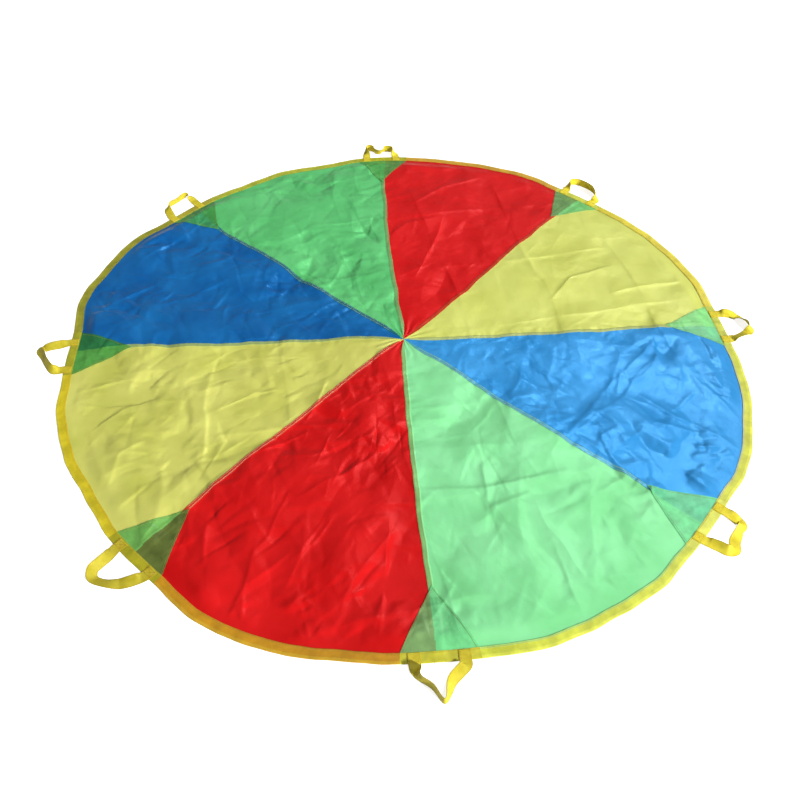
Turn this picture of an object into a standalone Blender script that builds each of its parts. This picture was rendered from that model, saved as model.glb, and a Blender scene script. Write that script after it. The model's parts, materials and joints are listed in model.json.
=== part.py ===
"""Play parachute, laid out flat: eight sewn gores, a bound edge, eight seam patches and eight webbing hand loops.

Units are metres and +Z is up. The origin is on the floor under the point where the gores meet. +X runs through the
middle of the right-hand blue gore, +Y to the back. The parachute folds in half along X.
"""
import math

import bmesh
import bpy
from mathutils import Vector

# Canopy
DIAMETER = 2.020
GORES = 8
CLOTH = 0.0005
FIT = 0.0003
EDGE_SLACK = 0.040
EDGE_CLEAR = 0.0008

# Lapped seams
LAP = 0.010
CLIMB = 0.003
CLIMB_GAP = 0.00085
TIP_RADIUS = 0.003
SEAM_FADE = 0.060

# Ridges left by packing
RIDGE_PITCH = 0.290
RIDGE_SHIFT = -0.080
RIDGE_TURN = math.radians(30)
RIDGE_RISE = 0.008
RIDGE_SHARPNESS = 3
FLAT_CELLS = 1.0
FULL_CELLS = 2.2

# Tape folded over the edge
BINDING_WIDTH = 0.026
BINDING_PLY = 0.0004

# Seam patches
PATCH_LENGTH = 0.160
PATCH_WIDTH = 0.180

# Hand loops
WEBBING_WIDTH = 0.028
WEBBING_PLY = 0.001
LEG_SPACING = 0.110
LOOP_LENGTH = 0.215
SEWN_LENGTH = 0.023
TURN_GAP = 0.00045
STRAIGHT_RUN = 0.004
TURN_RUN = 0.018
SETTLE_RUN = 0.030

# Fold across the middle
FOLD_HEIGHT = 0.004

# Mesh density
EDGE_STEPS = 12
PANEL_COLUMNS = 11
PANEL_ROWS = 12
HEM_STEPS = 3
PATCH_STEPS = 6
STRAP_STEPS = 24

RADIUS = DIAMETER / 2
GORE_TURN = 2 * math.pi / GORES
EDGE_STEP_TURN = GORE_TURN / EDGE_STEPS
PANEL_BASE = BINDING_PLY + FIT
LAP_RISE = CLOTH + FIT
PATCH_BASE = PANEL_BASE + CLOTH + LAP_RISE + FIT
BINDING_TOP = PATCH_BASE + BINDING_PLY
SEWN_BASE = BINDING_TOP + FIT
HINGE_HEIGHT = SEWN_BASE + WEBBING_PLY / 2
LYING_HEIGHT = WEBBING_PLY / 2 + FIT
SEWN_GAP = WEBBING_PLY / 2 + TURN_GAP
INNER_EDGE = RADIUS - BINDING_WIDTH

# How far the laid edge lies inside the full circle, as shares of EDGE_SLACK: the middle of each gore, then the seam
# after it, counterclockwise from +X.
EDGE_SLACK_SHARES = [
    0.40, 0.85, 0.40, 0.65, 0.30, 0.35, 0.55, 0.60, 0.00, 0.95, 0.70, 0.75, 0.15, 0.70, 0.40, 0.65,
]

PLACES = ["right_back", "back_right", "back_left", "left_back", "left_front", "front_left", "front_right",
          "right_front"]

# Each hand loop as it lies: its shift along the edge as a share of LEG_SPACING, then stations from one sewn end to
# the other. A station is its way out as a share of the loop's reach, its place along the edge as a share of half of
# LEG_SPACING, and the webbing's lean from flat in degrees.
LOOP_SHARES = {
    "right_back": (-0.05, [
        (0, -1, 0), (0.3, -0.9, -30), (0.75, -0.65, -20), (1.05, -0.35, 30), (1.05, -0.05, 60),
        (0.95, 0.3, 45), (0.75, 0.75, 0), (0.35, 0.95, -30), (0, 1, 0)]),
    "back_right": (0.02, [
        (0, -1, 0), (0.3, -1.05, 20), (0.6, -0.95, 65), (1.1, -0.4, 80), (1.25, 0.2, 85), (1.2, 0.8, 85),
        (0.8, 1.2, 80), (0.3, 1.1, 30), (0, 1, 0)]),
    "back_left": (0.05, [
        (0, -1, 0), (0.4, -0.95, 20), (0.9, -0.85, 75), (1.15, -0.5, 85), (1.05, -0.2, 75), (0.6, -0.05, 65),
        (0.5, 0.15, 65), (0.7, 0.4, 75), (1.15, 0.5, 85), (1.4, 0.8, 85), (1.1, 1.05, 75), (0.5, 1, 35),
        (0, 1, 0)]),
    "left_back": (0.175, [
        (0, -1, 0), (0.55, -1.1, 5), (1, -1.15, 25), (1.2, -0.9, 75), (1.1, -0.2, 70), (1.1, 0.35, 70),
        (0.95, 0.65, 35), (0.45, 0.85, 10), (0, 1, 0)]),
    "left_front": (0.11, [
        (0, -1, 0), (0.35, -0.85, -20), (0.85, -0.7, -10), (1.05, -0.45, 30), (0.85, 0.05, 50),
        (0.65, 0.55, 55), (0.35, 1.05, 45), (0, 1, 0)]),
    "front_left": (0.04, [
        (0, -1, 0), (0.4, -0.9, -25), (0.8, -0.85, -40), (1.1, -0.8, -40), (1.3, -0.45, -30),
        (1.1, 0.1, -25), (0.7, 0.55, 5), (0.3, 0.85, 15), (0, 1, 0)]),
    "front_right": (-0.02, [
        (0, -1, 0), (0.25, -0.95, 40), (0.5, -0.85, 80), (0.8, -0.4, 85), (1.25, 0, 85), (0.65, 0.35, 40),
        (0.35, 0.7, 20), (0.15, 0.97, 15), (0, 1, 0)]),
    "right_front": (0.05, [
        (0, -1, 0), (0.55, -0.9, 25), (0.95, -0.85, 35), (1.15, -0.55, 15), (0.98, -0.15, 0),
        (0.9, 0.45, 40), (0.85, 0.85, 15), (0.45, 0.98, -10), (0, 1, 0)]),
}

COLOURS = {
    "red_taffeta": ((0.62, 0.018, 0.020), 0.45),
    "yellow_taffeta": ((0.64, 0.68, 0.16), 0.45),
    "green_taffeta": ((0.20, 0.72, 0.27), 0.45),
    "blue_taffeta": ((0.020, 0.22, 0.62), 0.35),
    "green_patch": ((0.10, 0.46, 0.16), 0.50),
    "yellow_binding": ((0.62, 0.50, 0.035), 0.55),
    "yellow_webbing": ((0.78, 0.60, 0.035), 0.65),
}


def smooth(value, low, high):
    """Rises from 0 at low to 1 at high, level at both ends."""
    share = min(1.0, max(0.0, (value - low) / (high - low)))
    return share * share * (3 - 2 * share)


def laid_slack(turn):
    """How far inside the full circle the edge lies, in the direction of an angle."""
    count = len(EDGE_SLACK_SHARES)
    place = (turn / (2 * math.pi) % 1) * count
    before = int(place) % count
    ease = smooth(place - int(place), 0, 1)
    share = EDGE_SLACK_SHARES[before] * (1 - ease) + EDGE_SLACK_SHARES[(before + 1) % count] * ease
    return EDGE_SLACK * share


def drawn_in(x, y):
    """A point of the full circle, drawn in towards the centre as the laid cloth is."""
    radius = math.hypot(x, y)
    scale = 1 - laid_slack(math.atan2(y, x)) / RADIUS
    return (x * scale, y * scale) if radius else (x, y)


def distance_from_sewing(x, y):
    """How far a point of the full circle is from the nearest seam, patch, tape or fold line."""
    radius = math.hypot(x, y)
    turn = math.atan2(y, x)
    off_seam = turn - (math.floor(turn / GORE_TURN) + 0.5) * GORE_TURN
    along = radius * math.cos(off_seam)
    across = abs(radius * math.sin(off_seam))
    patch_share = max(0.0, (along - INNER_EDGE + PATCH_LENGTH) / PATCH_LENGTH)
    return min(across - patch_share * PATCH_WIDTH / 2, INNER_EDGE - radius, abs(y))


def ridge_height(x, y):
    """Rise of the laid cloth at a point of the full circle: a square grid of soft ridges, none over the sewing."""
    sideways = x * math.cos(RIDGE_TURN) + y * math.sin(RIDGE_TURN) - RIDGE_SHIFT
    lengthways = y * math.cos(RIDGE_TURN) - x * math.sin(RIDGE_TURN)
    hollow = 1.0
    for distance in (sideways, lengthways):
        wave = 0.5 + 0.5 * math.cos(2 * math.pi * distance / RIDGE_PITCH)
        hollow *= 1 - wave ** RIDGE_SHARPNESS
    radius = math.hypot(x, y)
    cell = radius * GORE_TURN / PANEL_COLUMNS
    room = smooth(distance_from_sewing(x, y) / cell, FLAT_CELLS, FULL_CELLS)
    return RIDGE_RISE * (1 - hollow) * room * smooth(radius, RIDGE_PITCH / 2, RIDGE_PITCH)


def make_material(name):
    colour, roughness = COLOURS[name]
    material = bpy.data.materials.new(name)
    material.use_nodes = True
    shader = material.node_tree.nodes["Principled BSDF"]
    shader.inputs["Base Color"].default_value = (*colour, 1.0)
    shader.inputs["Roughness"].default_value = roughness
    shader.inputs["Metallic"].default_value = 0.0
    return material


def add_object(name, data, material, parent, location=(0, 0, 0), turn=0.0):
    """Puts a mesh or curve in the parachute's collection, on the half or the hinge that carries it."""
    data.materials.append(material)
    thing = bpy.data.objects.new(name, data)
    collection.objects.link(thing)
    thing.parent = parent
    thing.location = location
    thing.rotation_euler.z = turn
    return thing


def add_empty(name, location, turn=0.0, parent=None):
    empty = bpy.data.objects.new(name, None)
    empty.empty_display_size = BINDING_WIDTH
    collection.objects.link(empty)
    empty.parent = parent
    empty.location = location
    empty.rotation_euler.z = turn
    return empty


def new_mesh(name, bm):
    mesh = bpy.data.meshes.new(name)
    bm.to_mesh(mesh)
    bm.free()
    return mesh


def sheet_mesh(name, rows, columns, place):
    """A flat grid whose corners are moved to place(row, column)."""
    bm = bmesh.new()
    bmesh.ops.create_grid(bm, x_segments=rows, y_segments=columns, size=1)
    for vertex in bm.verts:
        row = round((vertex.co.x + 1) / 2 * rows)
        column = round((vertex.co.y + 1) / 2 * columns)
        vertex.co = place(row, column)
    return new_mesh(name, bm)


def add_thickness(thing, thickness, offset):
    solidify = thing.modifiers.new("thickness", "SOLIDIFY")
    solidify.thickness = thickness
    solidify.offset = offset
    solidify.use_even_offset = True


def panel_columns(radius, start, end, laps, steps):
    """The angles across a panel at one radius, each with its share of the climb onto the gore before it."""
    narrow = min(1.0, radius / SEAM_FADE)
    butt = FIT / 2
    last = end - math.asin(butt / radius)
    if not laps:
        first = start + math.asin(butt / radius)
        return [(first + (last - first) * i / steps, 0.0) for i in range(steps + 1)]
    foot = butt + (CLIMB_GAP + CLIMB) * narrow
    top = butt + CLIMB_GAP * narrow
    lap = butt - (LAP + butt) * smooth(radius, SEAM_FADE / 2, SEAM_FADE)
    climb = smooth(radius, SEAM_FADE / 4, SEAM_FADE / 2)
    first = start + math.asin(foot / radius)
    columns = [(start + math.asin(lap / radius), climb), (start + math.asin(top / radius), climb)]
    return columns + [(first + (last - first) * i / steps, 0.0) for i in range(steps + 1)]


def make_panel(name, material, middle, start, end, laps, parent, base):
    """One gore or half of one, from the angle start to the angle end about its middle. Its first edge may lap."""
    outer = (RADIUS - BINDING_TOP / 2) * math.cos(EDGE_STEP_TURN / 2) - FIT
    radii = [TIP_RADIUS, SEAM_FADE / 4, SEAM_FADE / 2]
    radii += [SEAM_FADE + (outer - SEAM_FADE) * i / PANEL_ROWS for i in range(PANEL_ROWS + 1)]
    steps = round(PANEL_COLUMNS * (end - start) / GORE_TURN)
    table = [panel_columns(radius, start, end, laps, steps) for radius in radii]

    def place(row, column):
        turn, climb = table[row][column]
        x = radii[row] * math.cos(middle + turn)
        y = radii[row] * math.sin(middle + turn)
        height = base + ridge_height(x, y) + climb * LAP_RISE
        x, y = drawn_in(x, y)
        across = y * math.cos(middle) - x * math.sin(middle)
        outward = x * math.cos(middle) + y * math.sin(middle)
        return Vector((outward, across, height))

    mesh = sheet_mesh(name, len(radii) - 1, len(table[0]) - 1, place)
    panel = add_object(name, mesh, material, parent, turn=middle)
    add_thickness(panel, CLOTH, 1)


def make_binding(name, material, start, parent, base):
    """Half of the tape: a folded strip, swept round half of the edge."""
    fold = BINDING_TOP / 2
    bend = [-math.pi / 2 + math.pi * i / HEM_STEPS for i in range(HEM_STEPS + 1)]
    outside = [(RADIUS - fold + fold * math.cos(a), fold + fold * math.sin(a)) for a in bend]
    hollow = fold - BINDING_PLY
    inside = [(RADIUS - fold + hollow * math.cos(a), fold + hollow * math.sin(a)) for a in reversed(bend)]
    section = outside + [(INNER_EDGE, BINDING_TOP), (INNER_EDGE, BINDING_TOP - BINDING_PLY)]
    section += inside + [(INNER_EDGE, BINDING_PLY), (INNER_EDGE, 0)]
    trim = FIT / 2 / (INNER_EDGE - EDGE_SLACK)
    steps = EDGE_STEPS * GORES // 2
    first, sweep = start + trim, math.pi - 2 * trim
    bm = bmesh.new()
    corners = [bm.verts.new((r * math.cos(first), r * math.sin(first), z + base)) for r, z in section]
    face = bm.faces.new(corners)
    bmesh.ops.spin(bm, geom=[face, *face.edges, *face.verts], cent=(0, 0, 0), axis=(0, 0, 1), angle=sweep,
                   steps=steps)
    for vertex in bm.verts:
        vertex.co.x, vertex.co.y = drawn_in(vertex.co.x, vertex.co.y)
    bmesh.ops.recalc_face_normals(bm, faces=bm.faces)
    add_object(name, new_mesh(name, bm), material, parent)


def make_patch(name, material, seam, parent, base):
    """A triangle of cloth over the outer end of a seam, its base against the tape."""
    base_radius = INNER_EDGE * math.cos(EDGE_STEP_TURN / 2) - EDGE_CLEAR
    spread = math.asin(PATCH_WIDTH / 2 / base_radius)
    outline = [(INNER_EDGE - PATCH_LENGTH, seam)]
    outline += [(base_radius, seam + spread * (2 * i / PATCH_STEPS - 1)) for i in range(PATCH_STEPS + 1)]
    curve = bpy.data.curves.new(name, "CURVE")
    curve.dimensions = "2D"
    curve.fill_mode = "BOTH"
    curve.extrude = BINDING_PLY / 2
    spline = curve.splines.new("POLY")
    spline.points.add(len(outline) - 1)
    spline.use_cyclic_u = True
    for point, (radius, turn) in zip(spline.points, outline):
        x, y = drawn_in(radius * math.cos(turn), radius * math.sin(turn))
        point.co = (x, y, 0, 1)
    add_object(name, curve, material, parent, location=(0, 0, base + PATCH_BASE + BINDING_PLY / 2))


def smooth_route(stations, steps):
    """Points on one smooth curve through the stations, evenly spaced by their count."""
    first = [2 * a - b for a, b in zip(stations[0], stations[1])]
    last = [2 * a - b for a, b in zip(stations[-1], stations[-2])]
    points = [first, *stations, last]
    spans = len(stations) - 1
    route = []
    for i in range(steps + 1):
        place = i / steps * spans
        span = min(int(place), spans - 1)
        t = place - span
        route.append([
            0.5 * (2 * b + (c - a) * t + (2 * a - 5 * b + 4 * c - d) * t * t + (3 * b - a - 3 * c + d) * t ** 3)
            for a, b, c, d in zip(*points[span:span + 4])
        ])
    return route


def loop_line(shift, stations, reach):
    """The middle line of a laid loop, and its leans, out from the hinge as x, along it as y, z above the floor."""
    route = smooth_route(stations, STRAP_STEPS)
    flat = [Vector((out * reach, along * LEG_SPACING / 2 + shift, 0)) for out, along, _ in route]
    run = [0.0]
    for before, after in zip(flat, flat[1:]):
        run.append(run[-1] + (after - before).length)
    line, leans = [], []
    for point, (_, _, lean), done in zip(flat, route, run):
        from_end = min(done, run[-1] - done)
        leans.append(math.radians(lean) * smooth(from_end, STRAIGHT_RUN, TURN_RUN))
        lying = LYING_HEIGHT + WEBBING_WIDTH / 2 * abs(math.sin(leans[-1]))
        lifted = (HINGE_HEIGHT - LYING_HEIGHT) * (1 - smooth(from_end, STRAIGHT_RUN, SETTLE_RUN))
        line.append(point + Vector((0, 0, lying + lifted)))
    return line, leans


def line_length(line):
    return sum((b - a).length for a, b in zip(line, line[1:]))


def fitted_loop(shift, stations):
    """The loop's line at the reach that uses up exactly LOOP_LENGTH of webbing."""
    low, high = 0.0, LOOP_LENGTH
    for _ in range(40):
        reach = (low + high) / 2
        if line_length(loop_line(shift, stations, reach)[0]) < LOOP_LENGTH:
            low = reach
        else:
            high = reach
    return loop_line(shift, stations, low)


def make_loop(name, material, shift, stations, parent):
    """A strap that leans from flat to on edge, with its origin on the hinge line at the edge of the tape."""
    line, leans = fitted_loop(shift, stations)
    last = len(line) - 1

    def place(row, column):
        ahead = line[min(row + 1, last)] - line[max(row - 1, 0)]
        if row in (0, last):
            ahead.y = 0
        ahead.normalize()
        inward = Vector((0, 0, 1)).cross(ahead).normalized()
        width = inward * math.cos(leans[row]) + ahead.cross(inward) * math.sin(leans[row])
        side = (column / 2 - 0.5) * WEBBING_WIDTH
        return line[row] + width * side - Vector((0, 0, HINGE_HEIGHT))

    mesh = sheet_mesh(name, last, 2, place)
    mesh.shade_smooth()
    strap = add_object(name, mesh, material, parent)
    add_thickness(strap, WEBBING_PLY, 0)


def make_sewn_end(name, material, centre, parent):
    """The flat end of a strap on the tape, worked out from the hinge line of its handle."""
    bm = bmesh.new()
    bmesh.ops.create_cube(bm, size=1)
    bmesh.ops.scale(bm, vec=(SEWN_LENGTH, WEBBING_WIDTH, WEBBING_PLY), verts=bm.verts)
    add_object(name, new_mesh(name, bm), material, parent, location=(-SEWN_GAP - SEWN_LENGTH / 2, centre, 0))


def edge_out(seam, along):
    """How far out the tape's faceted edge is, in a seam's direction, at a place beside the seam."""
    side = math.copysign(1, along)
    before = (0.0, RADIUS - laid_slack(seam))
    for step in range(1, EDGE_STEPS):
        turn = side * step * EDGE_STEP_TURN
        radius = RADIUS - laid_slack(seam + turn)
        after = (radius * math.sin(turn), radius * math.cos(turn))
        if abs(after[0]) >= abs(along):
            break
        before = after
    share = (along - before[0]) / (after[0] - before[0])
    return before[1] + (after[1] - before[1]) * share


def make_handle(place, seam, material, parent, base):
    """One strap: two sewn ends and the loop between them, all set out from the loop's hinge line."""
    shift_share, stations = LOOP_SHARES[place]
    shift = shift_share * LEG_SPACING
    crossings = [
        side * LEG_SPACING / 2 + shift + share * WEBBING_WIDTH / 2
        for side in (-1, 1) for share in (-1, -0.5, 0, 0.5, 1)
    ]
    out = max(edge_out(seam, along) for along in crossings) + EDGE_CLEAR
    location = (out * math.cos(seam), out * math.sin(seam), base + HINGE_HEIGHT)
    hinge = add_empty(f"handle_{place}_hinge", location, seam, parent)
    for letter, side in (("a", -1), ("b", 1)):
        make_sewn_end(f"handle_{place}_sewn_end_{letter}", material, side * LEG_SPACING / 2 + shift, hinge)
    make_loop(f"handle_{place}_loop", material, shift, stations, hinge)


for thing in list(bpy.data.objects):
    bpy.data.objects.remove(thing, do_unlink=True)
collection = bpy.data.collections.new("play_parachute")
bpy.context.scene.collection.children.link(collection)
materials = {name: make_material(name) for name in COLOURS}

fold_axis = add_empty("fold_axis", (0, 0, FOLD_HEIGHT))
halves = {"back": (None, 0.0), "front": (fold_axis, -FOLD_HEIGHT)}

half_gore = GORE_TURN / 2
for side, first_gore in (("back", 0), ("front", GORES // 2)):
    parent, base = halves[side]
    near, far = ("right", "left") if side == "back" else ("left", "right")
    panel_base = base + PANEL_BASE
    start_turn = first_gore * GORE_TURN
    make_panel(f"blue_gore_{near}_{side}", materials["blue_taffeta"], start_turn, 0, half_gore, False, parent,
               panel_base)
    for step, colour in enumerate(("yellow", "red", "green"), start=1):
        make_panel(f"{colour}_gore_{side}", materials[f"{colour}_taffeta"], start_turn + step * GORE_TURN,
                   -half_gore, half_gore, True, parent, panel_base)
    make_panel(f"blue_gore_{far}_{side}", materials["blue_taffeta"], start_turn + math.pi, -half_gore, 0, True,
               parent, panel_base)
    make_binding(f"edge_binding_{side}", materials["yellow_binding"], start_turn, parent, base)

for number, place in enumerate(PLACES):
    seam = (number + 0.5) * GORE_TURN
    parent, base = halves["back" if number < GORES // 2 else "front"]
    make_patch(f"seam_patch_{place}", materials["green_patch"], seam, parent, base)
    make_handle(place, seam, materials["yellow_webbing"], parent, base)

bpy.context.view_layer.update()
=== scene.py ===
# %% [markdown]
# A play parachute is a big round cloth that a ring of children lift and drop together. This one is about
# two metres across and lies flat on a white floor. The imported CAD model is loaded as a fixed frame: it
# knows where the panels, the edge tape, the patches and the hand loops are, and which of them move
# together.
# %% Load the frame
import json
import math

import bpy
import numpy as np
from mathutils import Matrix, Vector
from mathutils.geometry import delaunay_2d_cdt


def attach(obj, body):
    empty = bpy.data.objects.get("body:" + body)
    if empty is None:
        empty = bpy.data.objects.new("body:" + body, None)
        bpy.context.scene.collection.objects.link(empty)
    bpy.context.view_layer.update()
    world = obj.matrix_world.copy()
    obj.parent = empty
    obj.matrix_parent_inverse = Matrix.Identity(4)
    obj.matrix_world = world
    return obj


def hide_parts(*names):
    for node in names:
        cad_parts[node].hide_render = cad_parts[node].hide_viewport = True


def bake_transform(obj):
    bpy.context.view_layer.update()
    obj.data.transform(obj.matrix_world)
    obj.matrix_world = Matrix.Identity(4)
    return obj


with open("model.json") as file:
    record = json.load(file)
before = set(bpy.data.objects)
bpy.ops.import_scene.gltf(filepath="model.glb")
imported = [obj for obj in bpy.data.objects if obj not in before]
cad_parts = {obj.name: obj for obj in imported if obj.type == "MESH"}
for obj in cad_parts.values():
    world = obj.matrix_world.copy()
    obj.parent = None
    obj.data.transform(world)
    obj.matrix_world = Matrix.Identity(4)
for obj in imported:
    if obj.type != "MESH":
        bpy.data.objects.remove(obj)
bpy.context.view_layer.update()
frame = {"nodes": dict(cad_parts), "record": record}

# %% [markdown]
# The cloth is cut as a flat circle and then laid down. Every piece is therefore described twice: where a
# point is on the flat cut circle, and where that point ends up on the floor. These are the sizes of the
# cut and of the seams.
# %% Sizes of the cloth
RADIUS = 1.010
GORES = 8
HALF_GORE = math.pi / GORES
CLOTH = 0.0005
FIT = 0.0003
EDGE_SLACK = 0.040
EDGE_BULGE = 0.012
LAP = 0.0100
SEAM_FADE = 0.060
BINDING_WIDTH = 0.026
BINDING_PLY = 0.0004
BINDING_TOP = 0.0027
PATCH_LENGTH = 0.160
PATCH_WIDTH = 0.180
WEBBING_WIDTH = 0.028
WEBBING_PLY = 0.001
LEG_SPACING = 0.110
LOOP_LENGTH = 0.215
SEWN_LENGTH = 0.023
SEWN_GAP = 0.00095
HINGE_HEIGHT = 0.0035
PANEL_BASE = BINDING_PLY + FIT
LAP_RISE = CLOTH + FIT
INNER_EDGE = RADIUS - BINDING_WIDTH

PLACES = ["right_back", "back_right", "back_left", "left_back", "left_front", "front_left", "front_right",
          "right_front"]
GORE_NAMES = ["blue_gore_right", "yellow_gore_back", "red_gore_back", "green_gore_back", "blue_gore_left",
              "yellow_gore_front", "red_gore_front", "green_gore_front"]
EDGE_SLACK_SHARES = [
    0.40, 0.85, 0.40, 0.65, 0.30, 0.35, 0.55, 0.60, 0.00, 0.95, 0.70, 0.75, 0.15, 0.70, 0.40, 0.65,
]
EDGE_BULGE_SHARES = [
    0.25, 0.35, -0.25, 0.75, -0.40, -1.10, -0.85, 0.90, 1.10, 0.35, -0.75, 0.75, -0.50, 0.50, 0.40, 0.90,
]


def smooth(value, low, high):
    """Rises from 0 at low to 1 at high, level at both ends."""
    share = np.clip((value - low) / (high - low), 0, 1)
    return share * share * (3 - 2 * share)


def laid_slack(turn):
    """How far inside the full circle the laid edge is. Between its stations it bulges out or hangs back."""
    count = len(EDGE_SLACK_SHARES)
    place = (np.asarray(turn) / (2 * math.pi) % 1) * count
    before = place.astype(int) % count
    share = place - np.floor(place)
    ease = smooth(share, 0, 1)
    slack = np.array(EDGE_SLACK_SHARES)
    slack = slack[before] * (1 - ease) + slack[(before + 1) % count] * ease
    off_seam = np.where(before % 2 == 0, 1 - share, share)
    bulge = smooth(off_seam, 0.22, 0.55) * (1 - smooth(off_seam, 0.60, 1.0))
    return EDGE_SLACK * slack - EDGE_BULGE * np.array(EDGE_BULGE_SHARES)[before] * bulge


print("circumference of the edge:", round(2 * math.pi * RADIUS, 2), "m")

# %% [markdown]
# Cloth never lies quite flat. Its small hills come from a smooth random height, called gradient noise.
# Blender has such noise in its textures, but here the mesh itself is moved, so a short version is written
# with NumPy. The seed is fixed, so every run gives the same hills.
# %% Smooth random heights
dice = np.random.default_rng(29)
SHUFFLE = dice.permutation(256)
LEANS = dice.uniform(0, 2 * math.pi, 256)
LAYER_SHIFT = (37.7, -19.3)


def hills(x, y, size, layer=0):
    """Smooth random heights between about -1 and 1, with hills about as wide as size."""
    x = np.asarray(x) / size + LAYER_SHIFT[0] * layer
    y = np.asarray(y) / size + LAYER_SHIFT[1] * layer
    column = np.floor(x).astype(int)
    row = np.floor(y).astype(int)
    x = x - column
    y = y - row

    def corner(right, up):
        lean = LEANS[(SHUFFLE[(column + right) & 255] + row + up) & 255]
        return np.cos(lean) * (x - right) + np.sin(lean) * (y - up)

    ease_x = x ** 3 * (x * (6 * x - 15) + 10)
    ease_y = y ** 3 * (y * (6 * y - 15) + 10)
    low = corner(0, 0) * (1 - ease_x) + corner(1, 0) * ease_x
    high = corner(0, 1) * (1 - ease_x) + corner(1, 1) * ease_x
    return 1.5 * (low * (1 - ease_y) + high * ease_y)


print("height of a random hill at one place:", round(float(hills(0.3, 0.2, 0.1)), 3))

# %% [markdown]
# The parachute was kept folded in a bag, and its packing creases still show as a square grid that lies
# askew. Single creases run across the panels as well. The bold ones and the fine ones that show best are
# listed here as shares of the radius, and each short list is the line that one crease follows.
# The many small ones between them are dropped at random.
# %% Creases from packing and handling
PACKING_PITCH = 0.290
PACKING_TURN = math.radians(30)
PACKING_SHIFT = -0.080
PACKING_WANDER = 0.012
PACKING_RISE = 0.0034
PACKING_SIDES = (0.008, 0.040)
BOLD_CREASE = (0.0038, 0.006, 0.026)
FINE_CREASE = (0.0025, 0.0035, 0.012)
CREASE_WANDER = 0.003
SCATTERED_CREASES = 900
RIGHT_GORE_HEADING = math.radians(118)
CREASE_SHARES = [
    [(-.65, .30), (-.53, .31), (-.46, .42), (-.24, .56)], [(-.37, .18), (-.27, .20), (-.12, .29)],
    [(-.52, .77), (-.44, .60)], [(-.74, .08), (-.64, .18)], [(-.75, -.20), (-.78, -.05)],
    [(-.46, -.17), (-.47, -.02), (-.48, .17)], [(-.17, .65), (-.09, .80), (.02, .91)],
    [(-.18, .44), (-.15, .55), (-.04, .63)], [(-.04, .27), (-.03, .48), (-.04, .63)],
    [(.38, .31), (.43, .44), (.56, .55)], [(.56, .40), (.78, .55)], [(.24, .56), (.34, .40)],
    [(.72, .22), (.59, -.02), (.53, -.22)], [(.66, -.02), (.74, -.09), (.91, -.08)],
    [(.35, -.04), (.47, -.06), (.49, .01)], [(-.50, -.27), (-.44, -.43), (-.34, -.63)],
    [(-.58, -.51), (-.40, -.51)], [(-.70, -.65), (-.64, -.52), (-.56, -.45)],
    [(-.55, -.76), (-.57, -.67), (-.53, -.60)], [(-.10, -.98), (-.09, -.88), (-.11, -.76)],
    [(0, -.86), (0, -.75), (.02, -.65)], [(-.07, -.63), (.01, -.53), (.09, -.40)],
    [(.24, -.92), (.21, -.79), (.17, -.60)], [(.20, -.52), (.37, -.44), (.56, -.32)],
    [(.34, -.37), (.38, -.48)], [(.48, -.43), (.52, -.49), (.59, -.56), (.64, -.62)],
    [(.13, -.30), (.25, -.24)], [(.38, -.51), (.48, -.42)],
    [(.74, .17), (.68, .08), (.65, -.02), (.60, -.08), (.55, -.20)],
]
FINE_CREASE_SHARES = [
    [(.66, -.02), (.71, -.03), (.78, -.05), (.84, -.06), (.90, -.08), (.97, -.11)],
    [(.88, .06), (.92, .07), (.97, .06)], [(.69, 0), (.75, -.03), (.81, -.06), (.86, -.07)],
    [(.60, .21), (.63, .15), (.61, .01), (.60, -.09)], [(.42, .01), (.46, -.04), (.50, -.06)],
    [(.26, .02), (.31, -.01), (.33, .02)], [(.40, 0), (.46, 0), (.49, -.01)],
    [(.42, .07), (.49, .07), (.54, .07)], [(.50, -.18), (.49, -.13)],
    [(.40, -.14), (.45, -.14), (.48, -.12)], [(.74, .20), (.72, .12), (.67, .04)],
    [(.61, -.24), (.62, -.18), (.65, -.13)], [(.79, -.17), (.79, -.23)],
    [(.80, -.22), (.84, -.23), (.88, -.26), (.94, -.28)], [(.73, .09), (.77, .10), (.83, .09)],
    [(.85, .07), (.81, -.01), (.78, -.04)], [(.36, -.16), (.37, -.12), (.41, -.10)],
    [(.17, -.07), (.24, -.10), (.31, -.14)], [(.56, -.15), (.58, -.10), (.64, -.06), (.67, -.06)],
    [(.84, -.07), (.85, -.13), (.91, -.12)], [(.67, -.21), (.71, -.13), (.72, -.09)],
    [(.31, .01), (.37, -.02), (.38, -.09)], [(-.74, .09), (-.69, .13), (-.63, .17)],
    [(-.77, -.19), (-.76, -.12), (-.76, -.07)], [(-.54, .05), (-.47, .01)],
    [(-.53, -.14), (-.49, -.04), (-.43, -.05)], [(-.25, -.07), (-.23, .01), (-.23, .07)],
    [(-.73, -.04), (-.65, -.03)], [(-.17, -.54), (-.08, -.49), (0, -.41), (.08, -.34)],
    [(-.26, -.72), (-.28, -.68), (-.23, -.64)], [(-.02, -.80), (.02, -.73), (.04, -.63)],
    [(.13, -.85), (.14, -.78), (.17, -.69), (.20, -.63)], [(.07, -.85), (.10, -.81), (.12, -.76)],
    [(.11, -.51), (.13, -.46), (.16, -.50)], [(.22, -.90), (.21, -.74)],
    [(-.11, -.83), (-.09, -.74), (-.09, -.60)], [(-.06, -.33), (-.03, -.28), (.03, -.21)],
    [(-.79, -.44), (-.58, -.42), (-.47, -.46)], [(-.60, -.67), (-.50, -.64), (-.41, -.66)],
    [(-.77, -.54), (-.69, -.53), (-.62, -.50)], [(-.40, -.45), (-.33, -.35), (-.25, -.31)],
]


def crest(distance, steep, gentle):
    """A sharp crest that falls off quickly on one side and slowly on the other."""
    return np.exp(-np.abs(distance) / np.where(distance > 0, gentle, steep))


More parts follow.
